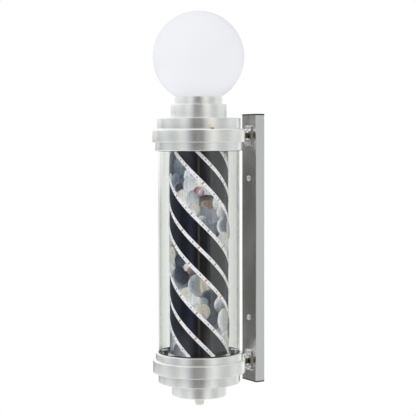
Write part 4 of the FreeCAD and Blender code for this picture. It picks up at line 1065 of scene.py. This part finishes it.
def make_world():
    """The room that the object mirrors; a camera sees plain white behind it."""
    world = bpy.data.worlds.new("studio")
    bpy.context.scene.world = world
    world.use_nodes = True
    room = Nodes(world.node_tree)
    room.tree.nodes.clear()
    turned = room.node("ShaderNodeVectorRotate", rotation_type="Z_AXIS")
    turned.inputs["Angle"].default_value = -CAMERA_AZIMUTH
    room.link(room.node("ShaderNodeTexCoord").outputs["Generated"], turned.inputs["Vector"])
    direction = room.split(turned.outputs[0])
    azimuth = room.math("ARCTAN2", direction["Y"], direction["X"])
    share = room.math("ADD", room.math("DIVIDE", azimuth, math.tau), 0.5)

    behind = room.spread(room.math("ABSOLUTE", azimuth), 0.0, 1.0, *BEHIND)
    dip = room.math("ADD", room.math("MULTIPLY", behind, BEHIND_DIP), LEVEL_DIP)
    narrowing = room.math("ADD", room.math("MULTIPLY", behind, BEHIND_NARROWING), 1.0)
    off_level = room.math("ABSOLUTE", room.math("ADD", direction["Z"], dip))
    rise = room.spread(room.math("MULTIPLY", off_level, narrowing), 0.0, 1.0, *LEVEL_FADE, "SMOOTHSTEP")
    walls = room.mix(rise, ramp(room.tree, share, STUDIO_LEVEL), ramp(room.tree, share, STUDIO_HIGH))
    up = room.spread(room.math("ABSOLUTE", direction["Z"]), 0.0, 1.0, *CEILING_FADE)
    seen = room.mix(room.node("ShaderNodeLightPath").outputs["Is Camera Ray"], room.mix(up, walls, CEILING),
                    (1.0, 1.0, 1.0))
    background = room.node("ShaderNodeBackground")
    room.link(seen, background.inputs["Color"])
    room.link(background.outputs[0], room.node("ShaderNodeOutputWorld").inputs["Surface"])


LAMP_POWER = 14


def make_lights():
    """Two large soft lamps that model the shapes and leave no hard reflection."""
    for name, azimuth, rise, reach, size in (("key", 35, 1.6, 2.2, 1.4), ("fill", -60, 1.0, 2.4, 1.6)):
        data = bpy.data.lights.new(name, "AREA")
        data.size = size
        data.energy = LAMP_POWER
        lamp = bpy.data.objects.new(name, data)
        bpy.context.scene.collection.objects.link(lamp)
        angle = CAMERA_AZIMUTH + math.radians(azimuth)
        lamp.location = POLE + Vector((math.cos(angle) * reach, math.sin(angle) * reach, rise))
        lamp.rotation_euler = (POLE - lamp.location).to_track_quat("-Z", "Y").to_euler()
        lamp.visible_glossy = False
        lamp.visible_transmission = False


FLOOR_DROP = 0.45
FLOOR_HALF = 0.6


def make_floor():
    level = cad_box[0].z - FLOOR_DROP
    corners = [(POLE.x + side_x * FLOOR_HALF, POLE.y + side_y * FLOOR_HALF, level)
               for side_x, side_y in ((-1, -1), (1, -1), (1, 1), (-1, 1))]
    floor = mesh_piece("studio_floor", corners, [(0, 1, 2, 3)])
    floor.data.materials.append(stage_floor())


def settings():
    scene = bpy.context.scene
    scene.view_settings.view_transform = "Standard"
    scene.view_settings.look = "None"


make_camera()
make_world()
make_lights()
make_floor()
settings()
make_turned_parts()
make_clear_tube()
make_black_bands()
make_light_strips()
make_mirror()
dress_cad_nodes()
